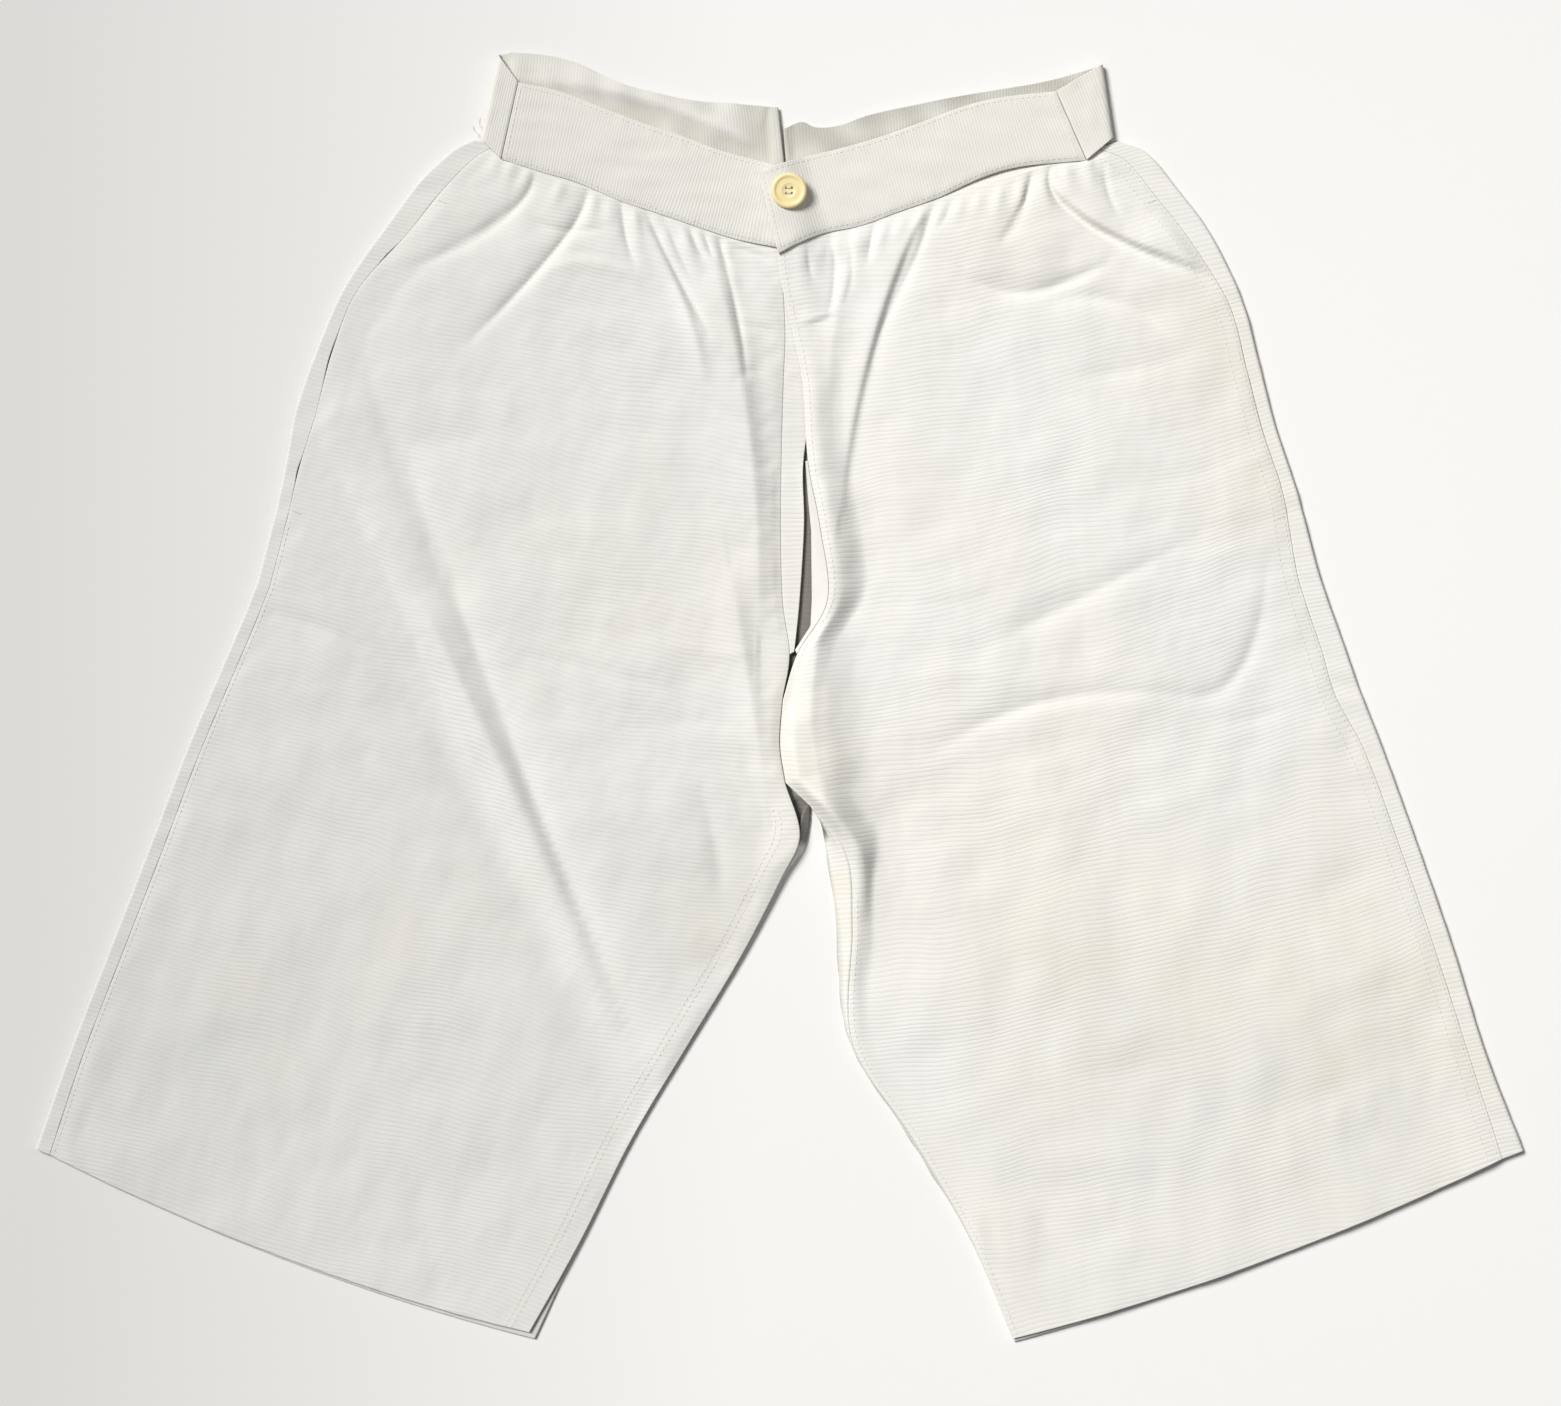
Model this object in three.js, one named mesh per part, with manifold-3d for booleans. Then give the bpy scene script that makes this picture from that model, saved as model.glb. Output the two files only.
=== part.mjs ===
// Cropped trousers of ribbed cotton, laid flat on a table with the front up.
// Millimetres. +X points to the wearer's left side, +Y to the waist, +Z up from the table.
// The origin is under the middle of the garment, on the surface it lies on.
import * as THREE from 'three';
import { mergeVertices } from 'three/addons/utils/BufferGeometryUtils.js';
import Module from 'manifold-3d';

// Driving sizes
const WALL = 1.3; // one layer of the cloth with its seam turnings
const HEM_WALL = 2.3; // the cloth and its turned-up hem
const BAND_WALL = 1.8; // the doubled waistband
const BAG_WALL = 1.2; // both layers of a pocket bag
const GAP = 0.3; // between two pieces at a seam
const SIDE_LEVEL = 3.6; // underside of the cloth where the back wraps over to the side seam
const TUCK_ROW = -0.2; // the gathered top edge, up under the waistband, as a place above row 0
const BAND_CLEAR = 0.6; // waistband above the gathered edge
const HEM_ROW = 16; // the section at the hem stitching
const LEG_CORNERS = [8, 10]; // rows where the centre edges turn: above the crotch and at it
const STRAIGHT_COLUMNS = ['fold', 'seam', 'slit']; // drawn straight from row to row, so that seams meet
const LIP_RUN = 4; // flat cloth that belongs to the raised edge of a back panel

// Sections across each leg from the waist (row 0) down to the hem's edge (row 17).
// fold: where the back panel turns up at the side, lap: how far it then runs over the front,
// front: the front panel's inner edge, back: the back panel's inner edge, lift: height of the
// front's inner edge, sag: how far the section bows towards the hem, puff: air in the leg,
// rise: 1 where the back panel stands up from the table to the raised inner edge, otherwise 0,
// slit: the space at the side seam, wider along the pocket's mouth.
const RIGHT_LEG = [
  {
    fold: [-171.5, 312], lap: 12, front: [1.5, 251], back: [4.5, 281],
    lift: 2.6, sag: 2, puff: 0.6, rise: 0, slit: 0.3,
  },
  {
    fold: [-184, 305.5], lap: 13, front: [2, 228], back: [4.5, 259],
    lift: 2.6, sag: 3, puff: 1.2, rise: 0, slit: 0.3,
  },
  {
    fold: [-202, 288.5], lap: 14, front: [3, 203], back: [5, 228],
    lift: 2.6, sag: 4, puff: 1.9, rise: 0, slit: 0.5,
  },
  {
    fold: [-220, 264.5], lap: 13, front: [2, 175], back: [5.5, 194.5],
    lift: 2.6, sag: 4, puff: 2.5, rise: 0, slit: 2,
  },
  {
    fold: [-243.5, 230.5], lap: 8, front: [1, 138.5], back: [6, 150],
    lift: 2.6, sag: 4, puff: 2.8, rise: 0, slit: 1,
  },
  {
    fold: [-258.5, 197], lap: 9, front: [0.5, 99.5], back: [7.5, 110.5],
    lift: 2.6, sag: 4, puff: 2.8, rise: 0, slit: 1.6,
  },
  {
    fold: [-271, 161.5], lap: 12, front: [1.5, 54.5], back: [8.5, 71.5],
    lift: 2.8, sag: 4, puff: 2.8, rise: 0, slit: 0.7,
  },
  {
    fold: [-276.5, 132], lap: 8.5, front: [5.5, 24], back: [9.5, 38],
    lift: 3.4, sag: 4, puff: 2.8, rise: 0, slit: 1.4,
  },
  {
    fold: [-281.5, 108], lap: 8, front: [1.5, -1.5], back: [11, 10],
    lift: 4.2, sag: 4, puff: 2.6, rise: 0, slit: 0.3,
  },
  {
    fold: [-287.5, 84.5], lap: 8, front: [0, -26.5], back: [13.5, -18],
    lift: 5, sag: 4, puff: 2.5, rise: 0, slit: 0.3,
  },
  {
    fold: [-292.5, 65], lap: 8, front: [3, -47.5], back: [18, -57.5],
    lift: 7, sag: 4, puff: 2.5, rise: 0, slit: 0.3,
  },
  {
    fold: [-301.5, 42.5], lap: 8, front: [10.5, -71.5], back: [13, -78.5],
    lift: 9, sag: 4, puff: 2.2, rise: 1, slit: 0.3,
  },
  {
    fold: [-314, 13.5], lap: 8, front: [0.5, -102], back: [1, -102],
    lift: 8, sag: 4, puff: 2.1, rise: 1, slit: 0.3,
  },
  {
    fold: [-332.5, -30], lap: 8, front: [-22, -145.5], back: [-21.5, -145.5],
    lift: 5.5, sag: 5, puff: 1.9, rise: 1, slit: 0.3,
  },
  {
    fold: [-351, -78.5], lap: 8, front: [-50, -192], back: [-49.5, -192],
    lift: 3.8, sag: 6, puff: 1.9, rise: 1, slit: 0.3,
  },
  {
    fold: [-373.5, -136.5], lap: 8, front: [-82.5, -246.5], back: [-82, -246.5],
    lift: 2.6, sag: 7, puff: 1.6, rise: 0.5, slit: 0.3,
  },
  {
    fold: [-396, -194.5], lap: 8, front: [-111.5, -304], back: [-111.5, -304.5],
    lift: 2.6, sag: 8, puff: 1.2, rise: 0, slit: 0.3,
  },
  {
    fold: [-416.5, -252.5], lap: 9, front: [-140, -355], back: [-137, -359],
    lift: 2.8, sag: 9, puff: 0.6, rise: 0, slit: 0.3,
  },
];

const LEFT_LEG = [
  {
    fold: [190, 311], lap: 14, front: [-2, 255], back: [4.5, 281],
    lift: 7.2, sag: 0, puff: 0.6, rise: 0, slit: 0.3,
  },
  {
    fold: [206, 304], lap: 13, front: [0.5, 232.5], back: [4.5, 259],
    lift: 5.4, sag: 3, puff: 1.2, rise: 0, slit: 0.3,
  },
  {
    fold: [223.5, 283], lap: 13, front: [6.5, 206], back: [5, 228],
    lift: 4.8, sag: 4, puff: 1.9, rise: 0, slit: 0.3,
  },
  {
    fold: [241, 259], lap: 12, front: [12.5, 175], back: [5.5, 194.5],
    lift: 4.8, sag: 4, puff: 2.5, rise: 0, slit: 0.7,
  },
  {
    fold: [258.5, 222.5], lap: 8, front: [15.5, 132], back: [6, 150],
    lift: 5.6, sag: 4, puff: 2.8, rise: 0, slit: 0.6,
  },
  {
    fold: [268, 187.5], lap: 8, front: [22.5, 94], back: [7.5, 110.5],
    lift: 7.5, sag: 4, puff: 2.8, rise: 0, slit: 0.6,
  },
  {
    fold: [277, 152.5], lap: 8, front: [26.5, 54.5], back: [8.5, 71.5],
    lift: 9, sag: 4, puff: 2.8, rise: 0, slit: 0.5,
  },
  {
    fold: [288, 119.5], lap: 8, front: [9.5, 24], back: [9.5, 38],
    lift: 5.4, sag: 4, puff: 2.6, rise: 0, slit: 0.3,
  },
  {
    fold: [294.5, 96], lap: 10, front: [1.5, -1.5], back: [11, 10],
    lift: 4.4, sag: 4, puff: 2.5, rise: 0, slit: 0.3,
  },
  {
    fold: [300.5, 73], lap: 12, front: [0, -26.5], back: [13.5, -18],
    lift: 5.2, sag: 4, puff: 2.5, rise: 0, slit: 0.3,
  },
  {
    fold: [306.5, 54.5], lap: 12.5, front: [3, -47.5], back: [18, -57.5],
    lift: 8, sag: 4, puff: 2.2, rise: 0, slit: 0.3,
  },
  {
    fold: [315.5, 29.5], lap: 13, front: [23, -67.5], back: [23.5, -71.5],
    lift: 13, sag: 4, puff: 2, rise: 1, slit: 0.3,
  },
  {
    fold: [324, 5], lap: 14, front: [38, -91], back: [26.5, -92],
    lift: 14, sag: 4, puff: 1.9, rise: 1, slit: 0.3,
  },
  {
    fold: [337.5, -29.5], lap: 10, front: [40.5, -130], back: [31, -124.5],
    lift: 9, sag: 5, puff: 1.9, rise: 1, slit: 0.3,
  },
  {
    fold: [358, -86], lap: 10, front: [40.5, -193], back: [38, -189.5],
    lift: 3.8, sag: 6, puff: 1.9, rise: 1, slit: 0.3,
  },
  {
    fold: [377, -141.5], lap: 10, front: [74, -246], back: [72, -246],
    lift: 2.6, sag: 7, puff: 1.6, rise: 0.5, slit: 0.3,
  },
  {
    fold: [395, -199.5], lap: 9.5, front: [106.5, -302], back: [106, -302.5],
    lift: 2.6, sag: 8, puff: 1.2, rise: 0, slit: 0.3,
  },
  {
    fold: [416, -253.5], lap: 13, front: [130.5, -358.5], back: [131, -360.5],
    lift: 2.8, sag: 8, puff: 0.6, rise: 0, slit: 0.3,
  },
];

// Folds: each is a soft ridge (rise above 0) or valley (below 0) along a curve through three
// points, with the half widths of its slopes on its left and right, walking from start to end.
const RIGHT_FOLDS = [
  { from: [-160, 292], through: [-190, 263], to: [-228, 234], rise: 2, left: 8, right: 12 },
  { from: [-146, 290], through: [-176, 255], to: [-222, 221], rise: -2.2, left: 8, right: 8 },
  { from: [-128, 280], through: [-152, 251], to: [-194, 212], rise: 2.6, left: 9, right: 10 },
  { from: [-109, 279], through: [-130, 246], to: [-170, 197], rise: -2.6, left: 8, right: 8 },
  { from: [-98, 272], through: [-108, 240], to: [-130, 190], rise: 2, left: 12, right: 10 },
  { from: [-76, 270], through: [-63, 234], to: [-46, 190], rise: -2.6, left: 5, right: 6 },
  { from: [-70, 266], through: [-54, 231], to: [-36, 182], rise: 3, left: 9, right: 6 },
  { from: [-27, 243], through: [-21, 160], to: [-6, 60], rise: -2, left: 7, right: 12 },
  { from: [-7, 60], through: [-10, 0], to: [-4, -44], rise: -1.6, left: 6, right: 12 },
  { from: [-269, 128], through: [-199, -4], to: [-94, -212], rise: -2.2, left: 9, right: 18 },
  { from: [-185, 54], through: [-131, -70], to: [-78, -218], rise: -3, left: 9, right: 9 },
  { from: [-160, 60], through: [-108, -62], to: [-56, -196], rise: 2.4, left: 44, right: 12 },
  { from: [-294, 52], through: [-255, 41], to: [-213, 24], rise: -0.9, left: 6, right: 8 },
  { from: [-269, -2], through: [-240, -24], to: [-185, -57], rise: -1, left: 9, right: 9 },
  { from: [-385, -226], through: [-388, -238], to: [-394, -254], rise: -0.6, left: 5, right: 5 },
];

const LEFT_FOLDS = [
  { from: [38, 254], through: [26, 214], to: [25, 174], rise: 3.6, left: 12, right: 9 },
  { from: [54, 262], through: [48, 242], to: [46, 222], rise: -1.6, left: 5, right: 5 },
  { from: [84, 276], through: [54, 190], to: [27, 108], rise: -4.2, left: 8, right: 7 },
  { from: [102, 270], through: [72, 188], to: [44, 96], rise: 2.2, left: 26, right: 10 },
  { from: [138, 292], through: [132, 270], to: [124, 252], rise: -2.4, left: 5, right: 5 },
  { from: [160, 289], through: [205, 266], to: [240, 246], rise: 2, left: 7, right: 6 },
  { from: [148, 281], through: [198, 256], to: [238, 233], rise: -2.6, left: 7, right: 8 },
  { from: [101, 234], through: [140, 229], to: [179, 242], rise: -1.3, left: 10, right: 10 },
  { from: [168, 222], through: [190, 217], to: [207, 217], rise: -1, left: 8, right: 8 },
  { from: [168, 180], through: [193, 184], to: [218, 192], rise: -0.9, left: 8, right: 8 },
  { from: [190, -4], through: [123, -10], to: [78, -27], rise: -1.5, left: 10, right: 8 },
  { from: [50, -100], through: [47, -140], to: [45, -188], rise: -1.6, left: 10, right: 5 },
  { from: [213, -200], through: [236, -194], to: [258, -186], rise: -0.9, left: 9, right: 9 },
  { from: [269, -237], through: [302, -221], to: [336, -202], rise: -0.9, left: 9, right: 9 },
];

// The ridge that stands beside the fly opening and runs down to the raised crotch.
const FLY_RIDGE = [
  { at: [8.5, 240], rise: 0 },
  { at: [12, 166], rise: 0.5 },
  { at: [16, 122], rise: 1.5 },
  { at: [23, 88], rise: 3 },
  { at: [27, 54], rise: 4.5 },
  { at: [22, 26], rise: 7 },
  { at: [19, 4], rise: 9.5 },
  { at: [22, -13], rise: 11 },
  { at: [30, -46], rise: 12 },
  { at: [38, -80], rise: 9 },
  { at: [43, -100], rise: 5 },
  { at: [41, -130], rise: 2 },
  { at: [39, -186], rise: 0 },
];
const FLY_RIDGE_LEFT = 13;
const FLY_RIDGE_RIGHT = 9;
const FACING_CLEAR = 0.5; // between the fly facing and the lip, measured across the strip

// Gathers under the waistband: at: place along the band, depth: height, length: how far the
// pleat runs down, lean: how far its end drifts sideways.
const RIGHT_GATHERS = [
  { at: -157, depth: 0.8, length: 16, lean: -6 },
  { at: -148, depth: 1, length: 20, lean: -8 },
  { at: -138, depth: 1.2, length: 26, lean: -12 },
  { at: -120, depth: 1.3, length: 24, lean: -10 },
  { at: -103, depth: 1.3, length: 30, lean: -6 },
  { at: -94, depth: 1.2, length: 22, lean: -2 },
  { at: -82, depth: 1.6, length: 34, lean: 4 },
  { at: -66, depth: 1.2, length: 24, lean: 8 },
  { at: -57, depth: 1.6, length: 30, lean: 12 },
  { at: -49, depth: 1.5, length: 26, lean: 12 },
  { at: -41, depth: 1.6, length: 34, lean: 11 },
  { at: -32, depth: 1.4, length: 44, lean: 8 },
  { at: -20, depth: 0.8, length: 18, lean: 8 },
];

const LEFT_GATHERS = [
  { at: 14, depth: 1, length: 20, lean: 0 },
  { at: 23, depth: 1.2, length: 26, lean: -1 },
  { at: 32, depth: 1.2, length: 24, lean: -2 },
  { at: 44, depth: 1.4, length: 22, lean: -3 },
  { at: 60, depth: 1.5, length: 26, lean: -6 },
  { at: 70, depth: 1.3, length: 20, lean: -6 },
  { at: 81, depth: 1.8, length: 34, lean: -9 },
  { at: 92, depth: 1.4, length: 24, lean: -6 },
  { at: 102, depth: 1.3, length: 20, lean: -4 },
  { at: 112, depth: 1.2, length: 18, lean: -3 },
  { at: 124, depth: 1.4, length: 24, lean: -4 },
  { at: 136, depth: 1.6, length: 28, lean: -3 },
  { at: 147, depth: 1.5, length: 26, lean: 3 },
  { at: 158, depth: 1.2, length: 18, lean: 6 },
  { at: 170, depth: 1.4, length: 22, lean: 8 },
  { at: 180, depth: 1, length: 14, lean: 6 },
];
const GATHER_HALF_WIDTH = 3.4;

// Pocket bags, hung inside from the side seams: their outlines and sections from top to bottom.
const RIGHT_BAG = [
  { outer: [-203, 258], inner: [-160, 246] },
  { outer: [-231, 218], inner: [-166, 196] },
  { outer: [-256, 152], inner: [-178, 124] },
  { outer: [-268, 100], inner: [-190, 72] },
  { outer: [-280, 68], inner: [-204, 42] },
  { outer: [-276, 56], inner: [-214, 36] },
];
const LEFT_BAG = [
  { outer: [222, 252], inner: [176, 240] },
  { outer: [246, 214], inner: [178, 186] },
  { outer: [262, 152], inner: [180, 120] },
  { outer: [274, 100], inner: [182, 60] },
  { outer: [272, 62], inner: [186, 20] },
  { outer: [240, 20], inner: [196, 0] },
];
const BAG_EDGE = 7; // how softly a bag's edge shows in the cloth over it

// Waistband pieces, as stations along the band: top and bottom edge.
const FRONT_BAND_RIGHT = [
  { top: [-146, 343.5], bottom: [-155.5, 300.5] },
  { top: [-123, 338.5], bottom: [-131.5, 293] },
  { top: [-101, 330], bottom: [-113, 287.5] },
  { top: [-78.5, 321.5], bottom: [-88.5, 277] },
  { top: [-56, 314], bottom: [-73, 272] },
  { top: [-33.5, 305.5], bottom: [-45, 262.5] },
  { top: [-11, 299.5], bottom: [-22.5, 255.5] },
  { top: [6.5, 294.5], bottom: [8.5, 249.5] },
];
const FRONT_BAND_LEFT = [
  { top: [-12, 293], bottom: [-1, 247.5] },
  { top: [11, 301], bottom: [22.5, 258.5] },
  { top: [33.5, 306.5], bottom: [45, 263.5] },
  { top: [56, 313], bottom: [67, 271.5] },
  { top: [78.5, 321], bottom: [89.5, 279.5] },
  { top: [101, 329.5], bottom: [112, 290] },
  { top: [123, 335], bottom: [134.5, 296.5] },
  { top: [154, 338.5], bottom: [171, 300] },
];
// The back waistband's top edge from the centre out. It ends at a fold and laps over the front.
const BACK_BAND_RIGHT = {
  top: [
    [-1, 330], [-22.5, 332], [-45, 333.5], [-67, 337.5], [-89.5, 343.5],
    [-112, 354], [-130, 359], [-153, 361],
  ],
  fold: { top: [-157.5, 359], bottom: [-167.5, 312.4] },
  tab: { top: [-146.5, 344], bottom: [-156, 301] },
};
const BACK_BAND_LEFT = {
  top: [
    [2, 318], [12, 322], [20, 319], [33.5, 320], [50.5, 326],
    [78.5, 332], [101, 336.5], [145.5, 344], [176, 352],
  ],
  fold: { top: [180.5, 354], bottom: [186.5, 313] },
  tab: { top: [154.5, 339], bottom: [171.5, 300.5] },
};

// Fly: the stand under the opening (edge: its free edge) and the facing that shows at the lip.
const FLY_STAND_EDGE = [
  [19.5, 250], [19.5, 222.5], [19, 197.5], [18, 166.5],
  [13, 130], [13.5, 96.5], [11, 54.5], [8, 25.5],
];
const FLY_FACING = [
  { row: 4, edge: [13.6, 132] },
  { row: 4.5, edge: [15, 112] },
  { row: 5, edge: [17, 93] },
  { row: 5.5, edge: [16.2, 73] },
  { row: 6, edge: [16.5, 55] },
  { row: 6.5, edge: [14.5, 41] },
  { row: 7, edge: [7, 26.5] },
];

// The button at the band's centre
const BUTTON_AT = [5, 282];
const BUTTON_RADIUS = 10;
const BUTTON_THICKNESS = 3.4;
const BUTTON_RIM = 2.2;
const BUTTON_DISH = 0.9;
const HOLE_RADIUS = 0.85;
const HOLE_OFFSET = 1.5;

// Fineness of the solids
const FRONT_COLUMNS = 32;
const COLUMN_CROWDING = 1.35; // columns stand closer towards the fly and inner leg
const FRONT_ROWS = rowSteps([[TUCK_ROW, 0, 1], [0, 3, 9], [3, 8, 10], [8, 13, 10], [13, 17, 4]]);
const BACK_ROWS = rowSteps([[0, 9, 9], [9, 13, 8], [13, 17, 4]]);
const BACK_FLAT_COLUMNS = 5;
const TURN_COLUMNS = 5;
const LIP_COLUMNS = 4;
const BAND_STATIONS = 14;
const BAND_ROWS = 3;

const cloth = new THREE.MeshStandardMaterial({ color: 0xe6e3da, roughness: 0.93, metalness: 0 });
const bandCloth = new THREE.MeshStandardMaterial({ color: 0xe3dfd3, roughness: 0.93, metalness: 0 });
const lining = new THREE.MeshStandardMaterial({ color: 0xdedacb, roughness: 0.95, metalness: 0 });
const buttonMaterial = new THREE.MeshStandardMaterial({ color: 0xeeddaa, roughness: 0.35, metalness: 0 });

// Rows or columns from ranges: [start, end, how many steps].
function rowSteps(ranges) {
  const steps = [ranges[0][0]];
  for (const [start, end, count] of ranges) {
    for (let i = 1; i <= count; i++) steps.push(start + ((end - start) * i) / count);
  }
  return steps;
}

function evenSteps(count) {
  return rowSteps([[0, 1, count]]);
}

function smoothstep(low, high, x) {
  const t = Math.min(1, Math.max(0, (x - low) / (high - low)));
  return t * t * (3 - 2 * t);
}

function mix(a, b, t) {
  return Array.isArray(a) ? a.map((value, i) => value + (b[i] - value) * t) : a + (b - a) * t;
}

function distance(a, b) {
  return Math.hypot(b[0] - a[0], b[1] - a[1]);
}

function direction(a, b) {
  return [(b[0] - a[0]) / distance(a, b), (b[1] - a[1]) / distance(a, b)];
}

// The point at a distance from a towards b.
function along(a, b, run) {
  return mix(a, b, run / distance(a, b));
}

// A smooth curve through four neighbouring values, at t between the middle two.
function catmull(a, b, c, d, t) {
  if (Array.isArray(a)) return a.map((_, i) => catmull(a[i], b[i], c[i], d[i], t));
  const slopeIn = (c - a) / 2;
  const slopeOut = (d - b) / 2;
  const bend = 3 * (c - b) - 2 * slopeIn - slopeOut;
  const twist = 2 * (b - c) + slopeIn + slopeOut;
  return b + t * (slopeIn + t * (bend + t * twist));
}

// The row of a table at any place v, each other named column drawn smoothly through the rows,
// and straight into the rows that are corners.
function rowAt(table, v, corners = []) {
  const last = table.length - 1;
  const i = Math.min(last - 1, Math.max(0, Math.floor(v)));
  const sharpStart = i === 0 || corners.includes(i);
  const sharpEnd = i + 1 === last || corners.includes(i + 1);
  const result = {};
  for (const name of Object.keys(table[i])) {
    const start = table[i][name];
    const end = table[i + 1][name];
    if (STRAIGHT_COLUMNS.includes(name)) {
      result[name] = mix(start, end, v - i);
      continue;
    }
    const before = sharpStart ? mix(start, end, -1) : table[i - 1][name];
    const after = sharpEnd ? mix(start, end, 2) : table[i + 2][name];
    result[name] = catmull(before, start, end, after, v - i);
  }
  return result;
}

// Samples of a fold's curve, with how far along it each one is.
function foldCurve(fold) {
  const points = [];
  const steps = 12;
  for (let i = 0; i <= steps; i++) {
    const t = i / steps;
    const early = mix(fold.from, fold.through, t * 2);
    const late = mix(fold.through, fold.to, t * 2 - 1);
    points.push({ at: mix(early, late, t), along: t });
  }
  return points;
}

// The nearest place on a polyline: distance, positive to its left, and how far along it is.
function nearest(points, x, y) {
  let best = { off: Infinity, along: 0 };
  for (let i = 0; i < points.length - 1; i++) {
    const [ax, ay] = points[i].at;
    const [bx, by] = points[i + 1].at;
    const dx = bx - ax;
    const dy = by - ay;
    const t = Math.min(1, Math.max(0, ((x - ax) * dx + (y - ay) * dy) / (dx * dx + dy * dy)));
    const ox = x - ax - dx * t;
    const oy = y - ay - dy * t;
    const off = Math.hypot(ox, oy);
    if (off < Math.abs(best.off)) {
      const side = dx * oy - dy * ox >= 0 ? 1 : -1;
      best = { off: side * off, along: mix(points[i].along, points[i + 1].along, t) };
    }
  }
  return best;
}

function bell(off, left, right) {
  return Math.exp(-((off / (off > 0 ? left : right)) ** 2));
}

function foldHeight(curve, fold, x, y) {
  const place = nearest(curve, x, y);
  const taper = Math.sin(Math.PI * (0.08 + 0.84 * place.along));
  return fold.rise * taper * bell(place.off, fold.left, fold.right);
}

const ridgePoints = FLY_RIDGE.map((row, i) => ({ at: row.at, along: i }));

function ridgeHeight(x, y) {
  const place = nearest(ridgePoints, x, y);
  return rowAt(FLY_RIDGE, place.along).rise * bell(place.off, FLY_RIDGE_LEFT, FLY_RIDGE_RIGHT);
}

// The pleats under the band: each starts at the band, drifts by its lean and dies away.
function gatherHeight(gathers, x, below) {
  let height = 0;
  for (const gather of gathers) {
    const share = below / gather.length;
    if (share <= 0 || share >= 1) continue;
    const centre = gather.at + gather.lean * share;
    const spread = GATHER_HALF_WIDTH * (0.8 + 0.7 * share);
    const swell = smoothstep(0, 0.2, share) * (1 - share);
    height += 1.6 * gather.depth * swell * Math.exp(-(((x - centre) / spread) ** 2));
  }
  return height;
}

// Signed distance from a point to a closed outline, positive inside.
function insideDistance(outline, x, y) {
  let nearby = Infinity;
  let inside = false;
  for (let i = 0; i < outline.length; i++) {
    const [ax, ay] = outline[i];
    const [bx, by] = outline[(i + 1) % outline.length];
    const dx = bx - ax;
    const dy = by - ay;
    const t = Math.min(1, Math.max(0, ((x - ax) * dx + (y - ay) * dy) / (dx * dx + dy * dy)));
    nearby = Math.min(nearby, Math.hypot(x - ax - dx * t, y - ay - dy * t));
    if (ay > y !== by > y && x < ax + ((bx - ax) * (y - ay)) / (by - ay)) inside = !inside;
  }
  return inside ? nearby : -nearby;
}

function bagOutline(bag) {
  return [...bag.map((row) => row.outer), ...bag.map((row) => row.inner).reverse()];
}

// One leg's own numbers and functions: sections, folds, gathers and pocket bag.
function makeLeg(rows, folds, gathers, bag, towardsSide, hasRidge) {
  const sections = rows.map((row) => ({ ...row, seam: along(row.fold, row.front, row.lap) }));
  const curves = folds.map((fold) => ({ fold, curve: foldCurve(fold) }));
  const outline = bagOutline(bag);

  function sectionAt(v) {
    const section = rowAt(sections, v, LEG_CORNERS);
    section.rise = Math.min(1, Math.max(0, section.rise));
    section.front[0] += (GAP / 2) * towardsSide;
    section.back[0] += (GAP / 2) * towardsSide;
    return section;
  }

  // A point at u across a section, which bows by its sag.
  function bowed(section, start, end, u) {
    const [x, y] = mix(start, end, u);
    return [x, y - section.sag * 4 * u * (1 - u)];
  }

  // How far up the gathered edge is at u across the front.
  function gatheredEdge(u) {
    const section = sectionAt(0);
    return bowed(section, section.seam, section.front, u)[1];
  }

  function clothWall(v) {
    return mix(WALL, HEM_WALL, smoothstep(HEM_ROW - 0.12, HEM_ROW, v));
  }

  // Height of the front panel's underside at u from the side seam (0) to its inner edge (1).
  function level(u, v) {
    const section = sectionAt(v);
    const width = distance(section.seam, section.front);
    const fromSide = u * width;
    const fromInner = (1 - u) * width;
    const [x, y] = bowed(section, section.seam, section.front, u);
    const floor = clothWall(v) + GAP;
    const rest = floor + 0.4 + 1.6 * (1 - smoothstep(0, 1.5, v));
    let height = rest + section.puff * Math.sin(Math.PI * u) ** 0.8;
    height += (SIDE_LEVEL - rest) * (1 - smoothstep(2, 26, fromSide));
    height += (section.lift - rest) * (1 - smoothstep(v < 2 ? 10 : 2, v < 2 ? 30 : 20, fromInner));
    const away = smoothstep(0, 8, fromSide) * smoothstep(0, 6, fromInner) * smoothstep(0.2, 0.7, v);
    for (const { fold, curve } of curves) height += away * foldHeight(curve, fold, x, y);
    if (hasRidge) height += ridgeHeight(x, y) * smoothstep(0, 9, fromInner);
    if (v > 0 && v < 4) height += away * gatherHeight(gathers, x, gatheredEdge(u) - y);
    const bagLevel = floor + BAG_WALL + 2 * GAP;
    const overBag = smoothstep(-BAG_EDGE, -2, insideDistance(outline, x, y));
    const lowest = mix(floor, bagLevel, overBag);
    return { x, y, z: softMax(height + 0.9 * overBag, lowest) };
  }

  return { sectionAt, bowed, clothWall, level };
}

// The larger of two heights, rounded where they cross, and never below the second.
function softMax(height, lowest) {
  const over = height - lowest;
  const round = 0.6;
  return lowest + (over + Math.sqrt(over * over + round * round)) / 2;
}

const rightLeg = makeLeg(RIGHT_LEG, RIGHT_FOLDS, RIGHT_GATHERS, RIGHT_BAG, -1, false);
const leftLeg = makeLeg(LEFT_LEG, LEFT_FOLDS, LEFT_GATHERS, LEFT_BAG, 1, true);

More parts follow.
